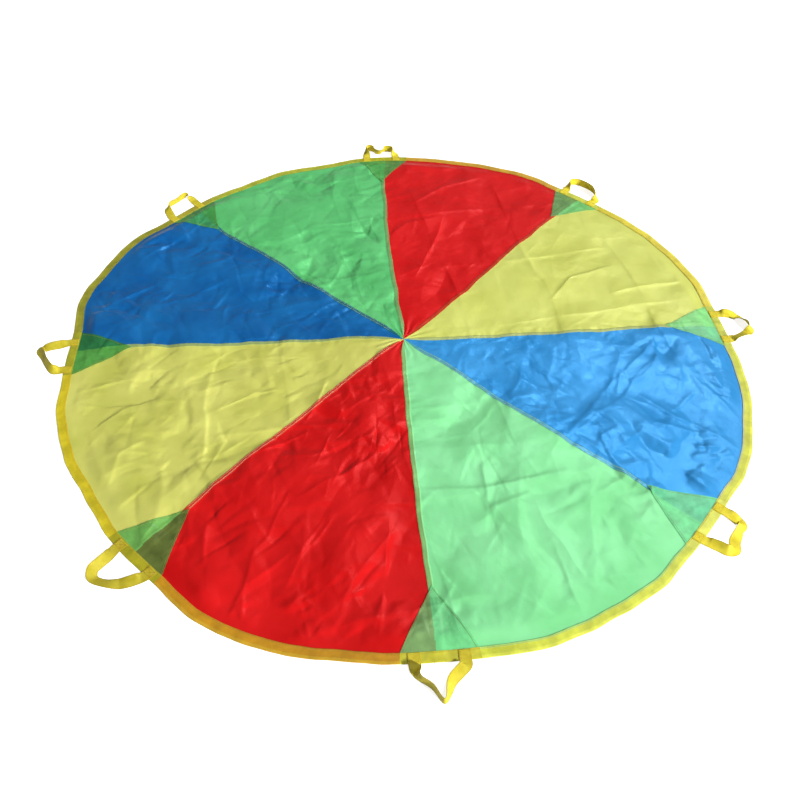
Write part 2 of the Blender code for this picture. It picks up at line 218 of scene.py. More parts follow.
def packing_creases(x, y):
    """Crests along a square grid that lies askew on the cloth, stronger in some stretches than in others."""
    sideways = x * math.cos(PACKING_TURN) + y * math.sin(PACKING_TURN) - PACKING_SHIFT
    lengthways = y * math.cos(PACKING_TURN) - x * math.sin(PACKING_TURN)
    height = 0
    for layer, distance in enumerate((sideways, lengthways)):
        distance = distance + PACKING_WANDER * hills(x, y, 0.20, 5 + layer)
        off_line = ((distance / PACKING_PITCH + 0.5) % 1 - 0.5) * PACKING_PITCH
        strength = np.clip(0.45 + 0.9 * hills(x, y, 0.16, 8 + layer), 0, 1)
        height = height + PACKING_RISE * strength * crest(off_line, *PACKING_SIDES)
    return height


def listed_creases(x, y, lines, rise, steep, gentle):
    """Crests along the creases in a list, each fading at its ends."""
    height = np.zeros_like(x)
    for number, line in enumerate(lines):
        points = np.array(line) * RADIUS
        nearest = np.full_like(x, 9.0)
        along = np.zeros_like(x)
        steps = np.linalg.norm(np.diff(points, axis=0), axis=1)
        done = 0.0
        for start, end, step in zip(points, points[1:], steps):
            way = (end - start) / step
            share = np.clip(((x - start[0]) * way[0] + (y - start[1]) * way[1]) / step, 0, 1)
            aside = (y - start[1]) * way[0] - (x - start[0]) * way[1]
            away = np.hypot(x - start[0] - share * step * way[0], y - start[1] - share * step * way[1])
            away = np.where(aside < 0, -away, away)
            closer = np.abs(away) < np.abs(nearest)
            along = np.where(closer, (done + share * step) / steps.sum(), along)
            nearest = np.where(closer, away, nearest)
            done += step
        nearest = nearest * (-1) ** number + CREASE_WANDER * hills(x, y, 0.05, 11)
        taper = np.clip(1 - (2 * along - 1) ** 4, 0, 1)
        height += rise * taper * crest(nearest, steep, gentle)
    return height


def scattered_creases(x, y):
    """Many short creases, dropped at random from a fixed seed. On the right blue gore most run one way."""
    drop = np.random.default_rng(71)
    height = np.zeros_like(x)
    for _ in range(SCATTERED_CREASES):
        radius = RADIUS * math.sqrt(drop.uniform(0.01, 0.93))
        turn = drop.uniform(0, 2 * math.pi)
        heading = drop.uniform(0, math.pi)
        half_length = 0.015 + 0.10 * drop.uniform() ** 2
        rise = (0.0005 + 0.016 * half_length) * drop.uniform(0.7, 1.3) * drop.choice([1, 1, -0.8])
        steep = drop.uniform(0.003, 0.006)
        gentle = drop.uniform(0.010, 0.026)
        bow = drop.uniform(-0.12, 0.12) * half_length
        centre = (radius * math.cos(turn), radius * math.sin(turn))
        if abs(turn - math.pi) > math.radians(157):
            heading = RIGHT_GORE_HEADING + drop.uniform(-0.5, 0.5)
        reach = half_length + 0.08
        near = (np.abs(x - centre[0]) < reach) & (np.abs(y - centre[1]) < reach)
        if not near.any():
            continue
        dx = x[near] - centre[0]
        dy = y[near] - centre[1]
        along = (dx * math.cos(heading) + dy * math.sin(heading)) / half_length
        across = dy * math.cos(heading) - dx * math.sin(heading) - bow * along ** 2
        taper = np.clip(1 - along ** 2, 0, 1) ** 2
        height[near] += rise * taper * crest(across, steep, gentle)
    return height


print("creases listed by eye:", len(CREASE_SHARES) + len(FINE_CREASE_SHARES))

# %% [markdown]
# Stiff, light cloth such as taffeta breaks into flat facets with sharp folds between them, like paper
# does. So a crumple is made as a net: random points, a random height at each, and straight triangles
# between them. Blender's triangulation joins the points, and the heights are then read from a fine map of
# the net.
# %% Facets of crumpled cloth
MAP_CELL = 0.003
MAP_HALF = 1.08


def crumple_map(pitch, seed):
    """Heights from -1 to 1 on a square map: flat triangles between random points about one pitch apart."""
    drop = np.random.default_rng(seed)
    steps = np.arange(-MAP_HALF - 1.5 * pitch, MAP_HALF + 1.5 * pitch, pitch)
    x, y = np.meshgrid(steps, steps)
    x = (x + drop.uniform(-0.46, 0.46, x.shape) * pitch).ravel()
    y = (y + drop.uniform(-0.46, 0.46, y.shape) * pitch).ravel()
    heights = drop.uniform(-1, 1, x.size)
    net = delaunay_2d_cdt([Vector(point) for point in zip(x, y)], [], [], 0, 1e-9)
    corners = np.array([point[:] for point in net[0]])
    heights = heights[[origin[0] for origin in net[3]]]
    size = int(2 * MAP_HALF / MAP_CELL) + 1
    heightmap = np.zeros((size, size))
    for a, b, c in net[2]:
        triangle = (corners[[a, b, c]] + MAP_HALF) / MAP_CELL
        low = np.clip(np.floor(triangle.min(0)).astype(int), 0, size - 1)
        high = np.clip(np.ceil(triangle.max(0)).astype(int) + 1, 0, size)
        if (low >= high).any():
            continue
        column, row = np.meshgrid(np.arange(low[0], high[0]), np.arange(low[1], high[1]))
        sides = np.column_stack([triangle[1] - triangle[0], triangle[2] - triangle[0]])
        if abs(np.linalg.det(sides)) < 1e-6:
            continue
        inverse = np.linalg.inv(sides)
        dx = column - triangle[0, 0]
        dy = row - triangle[0, 1]
        second = inverse[0, 0] * dx + inverse[0, 1] * dy
        third = inverse[1, 0] * dx + inverse[1, 1] * dy
        inside = (second >= -1e-6) & (third >= -1e-6) & (second + third <= 1 + 1e-6)
        value = heights[a] + second * (heights[b] - heights[a]) + third * (heights[c] - heights[a])
        heightmap[row[inside], column[inside]] = value[inside]
    return heightmap


def read_map(heightmap, x, y):
    """The map's height at any point, even between its cells."""
    size = len(heightmap)
    column = np.clip((x + MAP_HALF) / MAP_CELL, 0, size - 1.001)
    row = np.clip((y + MAP_HALF) / MAP_CELL, 0, size - 1.001)
    left = column.astype(int)
    below = row.astype(int)
    column = column - left
    row = row - below
    low = heightmap[below, left] * (1 - column) + heightmap[below, left + 1] * column
    high = heightmap[below + 1, left] * (1 - column) + heightmap[below + 1, left + 1] * column
    return low * (1 - row) + high * row


CRUMPLES = [(0.150, 0.0080, 25), (0.075, 0.0050, 100), (0.038, 0.0030, 150), (0.020, 0.0012, 60)]
CRUMPLE_STRETCH = 1.7
crumple_maps = [crumple_map(pitch, 400 + number) for number, (pitch, _, _) in enumerate(CRUMPLES)]
print("cells in a crumple map:", crumple_maps[0].size)

# %% [markdown]
# The whole height of the laid cloth is one function of the place on the cut circle. It adds up broad
# swells, layers of crumpled facets from coarse to fine, the creases, the small gathers that sewing makes
# beside each seam, and the pleats where all the points meet. Some gores are much more crumpled than
# others, so each has its own share. Near the fold the cloth stays low, so that it can be folded in half,
# and at the edge it comes down to the tape.
# %% Height of the laid cloth
SWELLS = [(0.34, 0.0036), (0.17, 0.0024), (0.085, 0.0011), (0.045, 0.0004)]
CRUMPLED_SHARES = [1.5, 0.35, 0.6, 1.5, 2.2, 1.15, 1.8, 0.65]
FOLD_CALM = 0.14
LOWEST = 0.0008
BELLY = 0.0072
RIM_LIFT = 0.0030
SEAM_GATHER = 0.0006
CENTRE_GATHER = 0.0014
CENTRE_PLEATS = 19
WEAVE_DRIFT = 0.0034
SEAM_WANDER = 0.020
WANDER_OUT_SHARES = [0, 0.15, 0.30, 0.45, 0.60, 0.75, 0.86, 0.95]
WANDER_SHARES = [
    [0, -0.25, -0.20, -0.40, -0.15, 0.25, 0.10, 0],
    [0, -0.15, -0.10, 0.30, 0.50, 0.50, 0.30, 0],
    [0, 0.60, 0.80, 1.00, 0.85, 0.95, 0.60, 0],
    [0, 0.40, 0.75, 0.95, 0.65, 1.15, 0.90, 0],
    [0, -0.40, 0.30, 0.20, 0.40, -0.25, -0.30, 0],
    [0, -0.30, -0.15, -0.30, -0.60, -0.40, -0.20, 0],
    [0, -0.30, -0.45, -0.40, -0.40, -0.25, 0, 0],
    [0, 0.10, -0.20, -0.35, -0.40, 0.05, 0, 0],
]


def seam_distance(x, y):
    """The nearest seam's number, the way out along it, and the signed distance from it, counterclockwise."""
    turn = np.arctan2(y, x)
    number = np.floor(turn / (2 * HALF_GORE))
    off = turn - (number + 0.5) * 2 * HALF_GORE
    radius = np.hypot(x, y)
    return number.astype(int) % GORES, radius * np.cos(off), radius * np.sin(off)


def crumpled(turn):
    """How crumpled the cloth is in this direction: one share for each gore, blended across the seams."""
    place = np.asarray(turn) / (2 * HALF_GORE)
    gore = np.floor(place).astype(int)
    ease = smooth(place - gore, 0.35, 0.65)
    shares = np.array(CRUMPLED_SHARES)
    return shares[gore % GORES] * (1 - ease) + shares[(gore + 1) % GORES] * ease


def rim_lift(x, y):
    """How far the edge stands off the floor: not by the hand loops and the fold, a little between them."""
    turn = np.arctan2(y, x)
    _, _, across = seam_distance(x, y)
    wave = 0.5 + 0.9 * hills(np.cos(turn) * 3, np.sin(turn) * 3, 1.0, 21)
    clear = smooth(np.abs(across), 0.100, 0.180) * smooth(np.abs(y), 0.02, 0.12)
    return RIM_LIFT * np.clip(wave, 0, 1) * clear


def crumples(x, y, off_fold):
    """The facets of crumpled cloth. The two coarse layers die away at the fold, and the fine ones hardly."""
    bent_x = x + 0.030 * hills(x, y, 0.22, 31) + 0.003 * hills(x, y, 0.05, 33)
    bent_y = y + 0.030 * hills(x, y, 0.22, 32) + 0.003 * hills(x, y, 0.05, 34)
    height = 0
    for layer, (heightmap, (_, rise, lean)) in enumerate(zip(crumple_maps, CRUMPLES)):
        busy = np.clip(0.75 + 0.8 * hills(x, y, 0.28, 45 + layer), 0.25, 1.3)
        lean = math.radians(lean)
        lengthways = (bent_x * math.cos(lean) + bent_y * math.sin(lean)) / CRUMPLE_STRETCH
        sideways = bent_y * math.cos(lean) - bent_x * math.sin(lean)
        calm = off_fold if layer < 2 else 0.7 + 0.3 * off_fold
        height = height + rise * calm * busy * read_map(heightmap, lengthways, sideways)
    return height


def held_down(height, y):
    """Holds the cloth on the floor, and under a limit near the fold, so that the halves have room."""
    limit = 0.0034 + 0.087 * np.minimum(np.abs(y), 0.18)
    height = limit * np.tanh(np.maximum(height, -limit) / limit)
    return 0.5 * (height + np.sqrt(height ** 2 + 0.0010 ** 2))


def laid_height(x, y):
    """How far the underside of the cloth is lifted at a point of the cut circle."""
    x = np.asarray(x, float)
    y = np.asarray(y, float)
    radius = np.hypot(x, y)
    turn = np.arctan2(y, x)
    _, along, across = seam_distance(x, y)
    off_fold = smooth(np.abs(y), 0, FOLD_CALM)
    height = LOWEST + BELLY * off_fold * (1 - 0.45 * smooth(radius, 0.60, 0.97))
    for layer, (size, rise) in enumerate(SWELLS):
        height += off_fold * rise * hills(x, y, size, layer)
    height += crumpled(turn) * (crumples(x, y, off_fold) + scattered_creases(x, y))
    height += off_fold * packing_creases(x, y)
    height += (0.6 + 0.4 * off_fold) * listed_creases(x, y, CREASE_SHARES, *BOLD_CREASE)
    height += listed_creases(x, y, FINE_CREASE_SHARES, *FINE_CREASE)
    height = held_down(height, y)
    by_seam = smooth(-np.abs(across), -0.040, -0.008) * smooth(along, 0.05, 0.15)
    height += SEAM_GATHER * by_seam * hills(along, across * 0.3, 0.013, 60) * smooth(height, 0.0, 0.002)
    by_centre = smooth(-radius, -0.16, -0.02) * smooth(radius, 0.004, 0.02)
    pleats = 0.5 + 0.5 * np.cos(turn * CENTRE_PLEATS + 3 * hills(x, y, 0.06, 61))
    height += CENTRE_GATHER * by_centre * pleats
    to_rim = smooth(radius, RADIUS - 0.070, INNER_EDGE + 0.002)
    height = height * (1 - to_rim) + rim_lift(x, y) * to_rim
    return np.maximum(height, 0)


def laid_place(x, y):
    """Where a point of the cut circle ends up on the floor. Seams wander, and the edge is drawn in."""
    x = np.asarray(x, float)
    y = np.asarray(y, float)
    radius = np.hypot(x, y)
    turn = np.arctan2(y, x)
    free = smooth(radius, 0.03, 0.15) * smooth(-radius, -0.95, -0.82)
    place = turn / (2 * HALF_GORE) - 0.5
    before = np.floor(place).astype(int)
    ease = smooth(place - before, 0, 1)
    wanders = np.array([np.interp(radius / RADIUS, WANDER_OUT_SHARES, shares) for shares in WANDER_SHARES])
    spot = np.arange(x.size).reshape(x.shape)
    wanders = wanders.reshape(GORES, -1)
    wander = wanders[before % GORES, spot] * (1 - ease) + wanders[(before + 1) % GORES, spot] * ease
    wander = SEAM_WANDER * wander
    drift_x, drift_y = [WEAVE_DRIFT * free * (hills(x, y, 0.14, layer) + 0.6 * hills(x, y, 0.06, layer + 2))
                        for layer in (71, 72)]
    scale = 1 - laid_slack(turn) / RADIUS
    return (x - wander * np.sin(turn) + drift_x) * scale, (y + wander * np.cos(turn) + drift_y) * scale


def lay(x, y, above):
    """Floor coordinates of points of the cut circle, a given height above the cloth's underside."""
    floor_x, floor_y = laid_place(x, y)
    return np.stack([floor_x, floor_y, PANEL_BASE + laid_height(x, y) + above], axis=-1)


grid_x, grid_y = np.meshgrid(np.linspace(-0.65, 0.65, 200), np.linspace(-0.65, 0.65, 200))
sample = laid_height(grid_x, grid_y) * 1000
print("height of the cloth, mm: mean", round(sample.mean(), 1), "highest", round(sample.max(), 1))

# %% [markdown]
# Each piece of cloth starts as Blender's grid primitive. Its vertices are then put where the cloth lies,
# which keeps the faces even quads. Attributes on the mesh remember where each vertex was on the flat
# cloth, so that the weave follows the cloth and not the floor.
# %% Helpers for sheets
DARK_LIFT = 12.92
SMOOTH_ANGLE = math.radians(50)


def colour(red, green, blue):
    """A colour given as it shows on a screen, from 0 to 255, in the linear numbers that shaders use."""
    shown = np.array([red, green, blue]) / 255
    linear = np.where(shown <= 0.04045, shown / DARK_LIFT, ((shown + 0.055) / 1.055) ** 2.4)
    return (*[float(part) for part in linear], 1.0)


def cloth_grid(name, rows, columns):
    """A new grid, with each vertex's row and column."""
    bpy.ops.object.select_all(action="DESELECT")
    bpy.ops.mesh.primitive_grid_add(x_subdivisions=rows, y_subdivisions=columns, size=2)
    sheet = bpy.context.object
    sheet.name = name
    sheet.data.name = name
    flat = np.empty(len(sheet.data.vertices) * 3)
    sheet.data.vertices.foreach_get("co", flat)
    flat = flat.reshape(-1, 3)
    row = np.rint((flat[:, 0] + 1) / 2 * rows).astype(int)
    column = np.rint((flat[:, 1] + 1) / 2 * columns).astype(int)
    return sheet, row, column


def move_vertices(sheet, places):
    """Puts every vertex of a sheet at its place."""
    sheet.data.vertices.foreach_set("co", np.ascontiguousarray(places, dtype=np.float32).ravel())
    sheet.data.update()


def flat_places(x, y):
    """Pairs of coordinates on flat cloth, as vectors."""
    return np.stack([x, y, np.zeros_like(x)], axis=-1)


def remember(sheet, name, values):
    """Stores a number, or a place on the flat cloth, for each vertex, for the materials to read."""
    values = np.ascontiguousarray(values, dtype=np.float32)
    kind, key = ("FLOAT", "value") if values.ndim == 1 else ("FLOAT_VECTOR", "vector")
    sheet.data.attributes.new(name, kind, "POINT").data.foreach_set(key, values.ravel())


def apply_modifiers(piece):
    """Applies a piece's modifiers in order, and leaves the piece active and selected alone."""
    bpy.ops.object.select_all(action="DESELECT")
    bpy.context.view_layer.objects.active = piece
    piece.select_set(True)
    for modifier in list(piece.modifiers):
        bpy.ops.object.modifier_apply(modifier=modifier.name)


def thicken(sheet, thickness, offset=1):
    """Gives a sheet its thickness and smooth shading."""
    solidify = sheet.modifiers.new("thickness", "SOLIDIFY")
    solidify.thickness = thickness
    solidify.offset = offset
    apply_modifiers(sheet)
    bpy.ops.object.shade_smooth_by_angle(angle=SMOOTH_ANGLE)


print("white floor colour:", [round(part, 3) for part in colour(250, 250, 250)[:3]])

# %% [markdown]
# The panels are taffeta, a thin, tightly woven cloth with a silky shine. Its material needs four things:
# the panel's colour with slow drifts in it, a fine weave of crossing threads, tiny crinkles that catch
# the light, and a soft sheen. The weave and the crinkles are bumps, because they are finer than the mesh.
# %% Taffeta material
def new_material(name):
    """A material, its node tree and its Principled shader."""
    material = bpy.data.materials.new(name)
    material.use_nodes = True
    return material, material.node_tree, material.node_tree.nodes["Principled BSDF"]


def feed(tree, socket, value):
    """Links another node's output to a socket, or sets the socket's own constant."""
    if isinstance(value, bpy.types.NodeSocket):
        tree.links.new(value, socket)
    else:
        socket.default_value = value


def set_up(tree, node, **values):
    """Sets a node's properties and feeds its inputs, each by its name with _ for a space."""
    for key, value in values.items():
        if hasattr(node, key):
            setattr(node, key, value)
        else:
            feed(tree, node.inputs[key.replace("_", " ")], value)
    return node


def add_node(tree, kind, **values):
    """Adds a shader node, already set up."""
    return set_up(tree, tree.nodes.new("ShaderNode" + kind), **values)


def calculate(tree, operation, *values):
    """A Math node's result. A sum is kept between 0 and 1."""
    node = add_node(tree, "Math", operation=operation, use_clamp=operation == "ADD")
    for socket, value in zip(node.inputs, values):
        feed(tree, socket, value)
    return node.outputs["Value"]


def attribute(tree, name, output="Vector"):
    """Reads one of the mesh's own attributes."""
    return add_node(tree, "Attribute", attribute_name=name).outputs[output]


def multiplied(tree, first, second, share=1.0):
    """One colour multiplied by another, in full or by a share."""
    mix = add_node(tree, "Mix", data_type="RGBA", blend_type="MULTIPLY", Factor=share, A=first, B=second)
    return mix.outputs["Result"]


def colour_drift(tree, place, dark, light, size, detail=3):
    """A colour that drifts slowly between two tones over the cloth."""
    clouds = add_node(tree, "TexNoise", Vector=place, Scale=1 / size, Detail=detail, Roughness=0.55)
    ramp = add_node(tree, "ValToRGB", Fac=clouds.outputs["Fac"])
    for element, position, tone in zip(ramp.color_ramp.elements, (0.34, 0.66), (dark, light)):
        element.position = position
        element.color = tone
    return ramp.outputs["Color"]


def thread_bump(tree, place, pitch, depth):
    """Two sets of crossing threads."""
    waves = [add_node(tree, "TexWave", bands_direction=direction, Vector=place, Scale=math.pi / 10 / pitch)
             for direction in ("X", "Y")]
    weave = calculate(tree, "MULTIPLY", waves[0].outputs["Fac"], waves[1].outputs["Fac"])
    return add_node(tree, "Bump", Strength=0.5, Distance=depth, Height=weave)


def noise_bump(tree, place, size, depth, before):
    """Soft crinkles, on top of an earlier bump."""
    noise = add_node(tree, "TexNoise", Vector=place, Scale=1 / size, Detail=5, Roughness=0.62)
    return add_node(tree, "Bump", Strength=1.0, Distance=depth, Height=noise.outputs["Fac"],
                    Normal=before.outputs["Normal"])


THREAD_PITCH = 0.0009
THREAD_DEPTH = 0.00004
CRINKLE = 0.014
CRINKLE_DEPTH = 0.00045
COLOUR_DRIFT = 0.16
WORN_SCALE = 24
SMOOTHER = 0.07
ROUGHER = 0.09


def woven_bump(tree, place, size, depth):
    """The bump of fine cloth: its threads, and crinkles of a given size and depth."""
    return noise_bump(tree, place, size, depth, thread_bump(tree, place, THREAD_PITCH, THREAD_DEPTH))


def taffeta(name, dark, light, lap, shine, gloss, tint, crinkle):
    """Silky woven cloth whose pattern follows the cut attribute. Under a lap the neighbour shows through."""
    material, tree, shader = new_material(name)
    cut = attribute(tree, "cut")
    drift = colour_drift(tree, cut, dark, light, COLOUR_DRIFT)
    mix = add_node(tree, "Mix", data_type="RGBA", Factor=attribute(tree, "lap", "Fac"), A=drift, B=lap)
    worn = add_node(tree, "TexNoise", Vector=cut, Scale=WORN_SCALE, Detail=3)
    rough = add_node(tree, "MapRange", Value=worn.outputs["Fac"], To_Min=shine - SMOOTHER,
                     To_Max=shine + ROUGHER)
    bump = woven_bump(tree, cut, CRINKLE, CRINKLE_DEPTH * crinkle)
    set_up(tree, shader, Base_Color=mix.outputs["Result"], Roughness=rough.outputs["Result"],
           Normal=bump.outputs["Normal"], Specular_IOR_Level=gloss, Specular_Tint=tint)
    return material


# Each gore's dark tone, light tone and tone under its lap. They hold painted light: gores at the left are
# darker as painted shade and gores at the right lighter as painted light, so gores of one colour differ.
GORE_COLOURS_AND_PAINTED_LIGHT = [
    ((46, 140, 208), (66, 158, 226), (82, 165, 184)),
    ((206, 212, 102), (218, 224, 118), (178, 194, 125)),
    ((206, 18, 20), (222, 26, 28), (203, 64, 38)),
    ((86, 184, 106), (104, 202, 124), (118, 165, 102)),
    ((14, 88, 155), (26, 108, 174), (38, 108, 118)),
    ((192, 194, 90), (214, 214, 112), (146, 168, 106)),
    ((200, 18, 19), (220, 28, 29), (203, 64, 41)),
    ((130, 220, 146), (148, 234, 166), (129, 180, 110)),
]
TINTS = {"blue": (70, 180, 255), "yellow": (255, 255, 170), "red": (255, 110, 110), "green": (150, 255, 180)}
gore_materials = [
    taffeta(name + "_taffeta", *[colour(*tone) for tone in tones], shine=0.31 if "blue" in name else 0.36,
            gloss=0.8 if "blue" in name else 0.45, tint=colour(*TINTS[name.split("_")[0]]),
            crinkle=1.3 if name == "blue_gore_right" else 1.0)
    for name, tones in zip(GORE_NAMES, GORE_COLOURS_AND_PAINTED_LIGHT)
]
print("cloth materials:", len(gore_materials))

# %% [markdown]
# A gore is one wedge of the circle, from the centre to the edge. Real gores are cut flat, and each one's
# first edge is laid over its neighbour's last edge and stitched down twice. So the mesh is a polar grid,
# and its first few columns lie on the gore before it and end in a thin rolled edge.
# %% Eight gores
GORE_ROWS = 214
GORE_COLUMNS = 196
LAP_COLUMN_SHARES = [-1.00, -0.94, -0.65, -0.30, 0.10, 0.24, 0.40]
LAP_LIFT_SHARES = [1.1, 1.25, 1, 1, 1, 0.30, 0]
TIP_RADIUS = 0.0009
GORE_OUTER = RADIUS - BINDING_TOP / 2 - FIT


def gore_points(number):
    """Cut coordinates and lap lift of a gore's grid. Rows run out from the centre, columns from the lap."""
    middle = 2 * HALF_GORE * number
    radii = TIP_RADIUS + (GORE_OUTER - TIP_RADIUS) * np.linspace(0, 1, GORE_ROWS + 1)
    narrow = np.minimum(1, radii / SEAM_FADE)
    first = -HALF_GORE + np.arcsin(np.clip(0.44 * LAP * narrow / radii, -0.3, 0.3))
    share = np.linspace(0, 1, GORE_COLUMNS + 1)
    turn = first[:, None] + (HALF_GORE - first[:, None]) * share[None, :]
    lap = np.arcsin(np.clip(np.outer(LAP * narrow / radii, LAP_COLUMN_SHARES), -0.5, 0.5)) - HALF_GORE
    turn = np.concatenate([lap, turn], axis=1) + middle
    lift = np.concatenate([LAP_LIFT_SHARES, np.zeros(GORE_COLUMNS + 1)]) * LAP_RISE
    lift = smooth(radii, SEAM_FADE / 4, SEAM_FADE / 2)[:, None] * lift[None, :]
    return radii[:, None] * np.cos(turn), radii[:, None] * np.sin(turn), lift


def make_gore(number):
    """One gore, laid and thickened, in place of its CAD solids."""
    name = GORE_NAMES[number]
    x, y, lift = gore_points(number)
    gore, row, column = cloth_grid(name + "_cloth", GORE_ROWS, x.shape[1] - 1)
    move_vertices(gore, lay(x, y, lift)[row, column])
    remember(gore, "cut", flat_places(x, y)[row, column])
    remember(gore, "lap", column < len(LAP_COLUMN_SHARES) - 2)
    thicken(gore, CLOTH)
    gore.data.materials.append(gore_materials[number])
    solid = [name] if name in frame["nodes"] else [name + "_back", name + "_front"]
    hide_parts(*solid)
    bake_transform(gore)
    return gore


gores = [make_gore(number) for number in range(GORES)]
print("vertices in a gore:", len(gores[0].data.vertices))

# %% [markdown]
# Thread is what makes cloth look sewn. One stitch is modelled by hand from a small cylinder, flattened
# and sunk a little into the cloth. It is then copied along every line of stitching, a few millimetres
# apart. Each line of stitches is one object with its own mesh, and each stitch in it has only a few
# faces.
# %% One stitch, and lines of it
STITCH_LENGTH = 0.0030
STITCH_PITCH = 0.0036
STITCH_END = 0.004
THREAD = 0.00045


def model_stitch():
    """A short five-sided rod, a little flattened and sunk into the cloth."""
    bpy.ops.object.select_all(action="DESELECT")
    bpy.ops.mesh.primitive_cylinder_add(vertices=5, radius=THREAD, depth=STITCH_LENGTH,
                                        rotation=(0, math.pi / 2, 0))
    rod = bpy.context.object
    bpy.ops.object.transform_apply(location=False, rotation=True, scale=False)
    bpy.ops.object.mode_set(mode="EDIT")
    bpy.ops.mesh.select_all(action="SELECT")
    bpy.ops.mesh.quads_convert_to_tris()
    bpy.ops.object.mode_set(mode="OBJECT")
    for vertex in rod.data.vertices:
        vertex.co.y *= 0.8
        vertex.co.z -= THREAD * 0.3
    points = np.array([vertex.co[:] for vertex in rod.data.vertices])
    faces = np.array([face.vertices[:] for face in rod.data.polygons])
    bpy.data.objects.remove(rod, do_unlink=True)
    return points, faces


stitch_points, stitch_faces = model_stitch()


def thread_material(name, dark, light):
    """Twisted sewing thread."""
    material, tree, shader = new_material(name)
    place = add_node(tree, "TexCoord").outputs["Object"]
    twist = noise_bump(tree, place, 0.0006, 0.0001, add_node(tree, "Bump"))
    set_up(tree, shader, Base_Color=colour_drift(tree, place, dark, light, 0.004), Roughness=0.5,
           Normal=twist.outputs["Normal"])
    return material


threads = {
    "olive": thread_material("olive_thread", colour(128, 120, 40), colour(160, 150, 60)),
    "pale": thread_material("pale_thread", colour(208, 214, 176), colour(232, 236, 204)),
    "maroon": thread_material("maroon_thread", colour(110, 24, 20), colour(140, 36, 28)),
    "gold": thread_material("gold_thread", colour(192, 158, 32), colour(218, 188, 52)),
    "rust": thread_material("rust_thread", colour(140, 66, 24), colour(166, 84, 34)),
}


def unit(vectors):
    """The vectors at a length of 1."""
    return vectors / np.linalg.norm(vectors, axis=1)[:, None]


def stitch_line(name, centres, aheads, thread, body):
    """Copies the stitch to each centre, pointing ahead, in one mesh that rides on a body."""
    aheads = unit(aheads)
    across = unit(np.cross([0, 0, 1], aheads))
    turned = sum(stitch_points[None, :, part, None] * way[:, None]
                 for part, way in enumerate((aheads, across, np.cross(aheads, across))))
    points = (turned + centres[:, None]).reshape(-1, 3)
    faces = (stitch_faces[None] + len(stitch_points) * np.arange(len(centres))[:, None, None]).reshape(-1, 3)
    mesh = bpy.data.meshes.new(name)
    mesh.from_pydata(points.tolist(), [], faces.tolist())
    mesh.materials.append(threads[thread])
    line = bpy.data.objects.new(name, mesh)
    bpy.context.scene.collection.objects.link(line)
    mesh.shade_smooth()
    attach(line, body)


def half_of(number):
    """The body of the half that carries a seam."""
    return "back_half" if number < GORES // 2 else "front_half"


print("faces in one stitch:", len(stitch_faces))

# %% [markdown]
# Two lines of stitches hold each lap, one near its edge and one near the fold where it climbs. They
# follow the laid seam, so they wander with it. Thread usually matches one of the two cloths, and here it
# differs from seam to seam.
# %% Topstitching along the seams
SEAM_LINES = [-0.12, -0.78]
SEAM_THREADS = ["olive", "maroon", "olive", "pale", "olive", "pale", "olive", "pale"]


def from_seam(number, out, aside):
    """The x and y of places that are given out along a seam and aside from it."""
    seam = (number + 0.5) * 2 * HALF_GORE
    return out * math.cos(seam) - aside * math.sin(seam), out * math.sin(seam) + aside * math.cos(seam)


def sew(name, x, y, above, thread, body):
    """Lays stitches along a line on the cut circle, at a height above the cloth's underside."""
    centres = lay(x, y, above)
    stitch_line(name, centres, np.gradient(centres, axis=0), thread, body)


for number, place in enumerate(PLACES):
    for line, share in enumerate(SEAM_LINES):
        out = np.arange(SEAM_FADE, INNER_EDGE - PATCH_LENGTH - STITCH_END, STITCH_PITCH)
        x, y = from_seam(number, out, share * LAP)
        sew(f"seam_stitches_{place}_{line + 1}", x, y, LAP_RISE + CLOTH, SEAM_THREADS[number],
            half_of(number))
print("stitched seam lines:", len(PLACES) * len(SEAM_LINES))

# %% [markdown]
# A triangle of thin green cloth strengthens the outer end of every seam, where a hand loop pulls. It is
# so thin that the panels show through it in two tones, with the seam as the border between them. A colour
# attribute on the faces stores what shows through, which bakes well and needs no transparent material.
# The stored tones also hold painted light: patches at the left are darker as painted shade, and those at
# the right lighter.
# %% Patches over the seams' ends
PATCH_ROWS = 66
PATCH_COLUMNS = 60
PATCH_PLY = 0.0004
PATCH_POINT_SHARE = 0.004
HEM_RISE = 0.0003
TUCK = 0.003
# What shows through each patch on its two sides, with painted light: darker at the left, lighter at the
# right.
PATCH_TONES_AND_PAINTED_LIGHT = [
    ((122, 206, 147), (142, 226, 137)),
    ((116, 199, 114), (107, 152, 87)),
    ((87, 144, 72), (82, 172, 86)),
    ((65, 151, 73), (60, 151, 91)),
    ((41, 116, 64), (82, 154, 68)),
    ((115, 178, 86), (98, 113, 51)),
    ((125, 166, 102), (113, 208, 134)),
    ((118, 224, 149), (105, 210, 153)),
]


def two_tone_cloth(name):
    """Thin cloth whose colour is what shows through it and painted light, with drifts, threads and crinkles.
    """
    material, tree, shader = new_material(name)
    cut = attribute(tree, "cut")
    drift = colour_drift(tree, cut, (0.80, 0.80, 0.80, 1), (1.12, 1.12, 1.12, 1), 0.035)
    bump = woven_bump(tree, cut, 0.010, 0.0004)
    set_up(tree, shader, Base_Color=multiplied(tree, attribute(tree, "tone", "Color"), drift),
           Normal=bump.outputs["Normal"], Roughness=0.42, Specular_IOR_Level=0.3)
    return material


patch_material = two_tone_cloth("patch_taffeta")


def store_tones(sheet, tones):
    """Stores one colour for each face."""
    layer = sheet.data.attributes.new("tone", "FLOAT_COLOR", "FACE")
    layer.data.foreach_set("color", np.ascontiguousarray(tones, dtype=np.float32).ravel())


def face_means(sheet, values):
    """The mean over each face's corners of a value given at the vertices."""
    corners = np.empty(len(sheet.data.loops), dtype=int)
    sheet.data.loops.foreach_get("vertex_index", corners)
    starts = np.empty(len(sheet.data.polygons), dtype=int)
    sheet.data.polygons.foreach_get("loop_start", starts)
    counts = np.empty(len(sheet.data.polygons), dtype=int)
    sheet.data.polygons.foreach_get("loop_total", counts)
    return np.add.reduceat(values[corners], starts) / counts


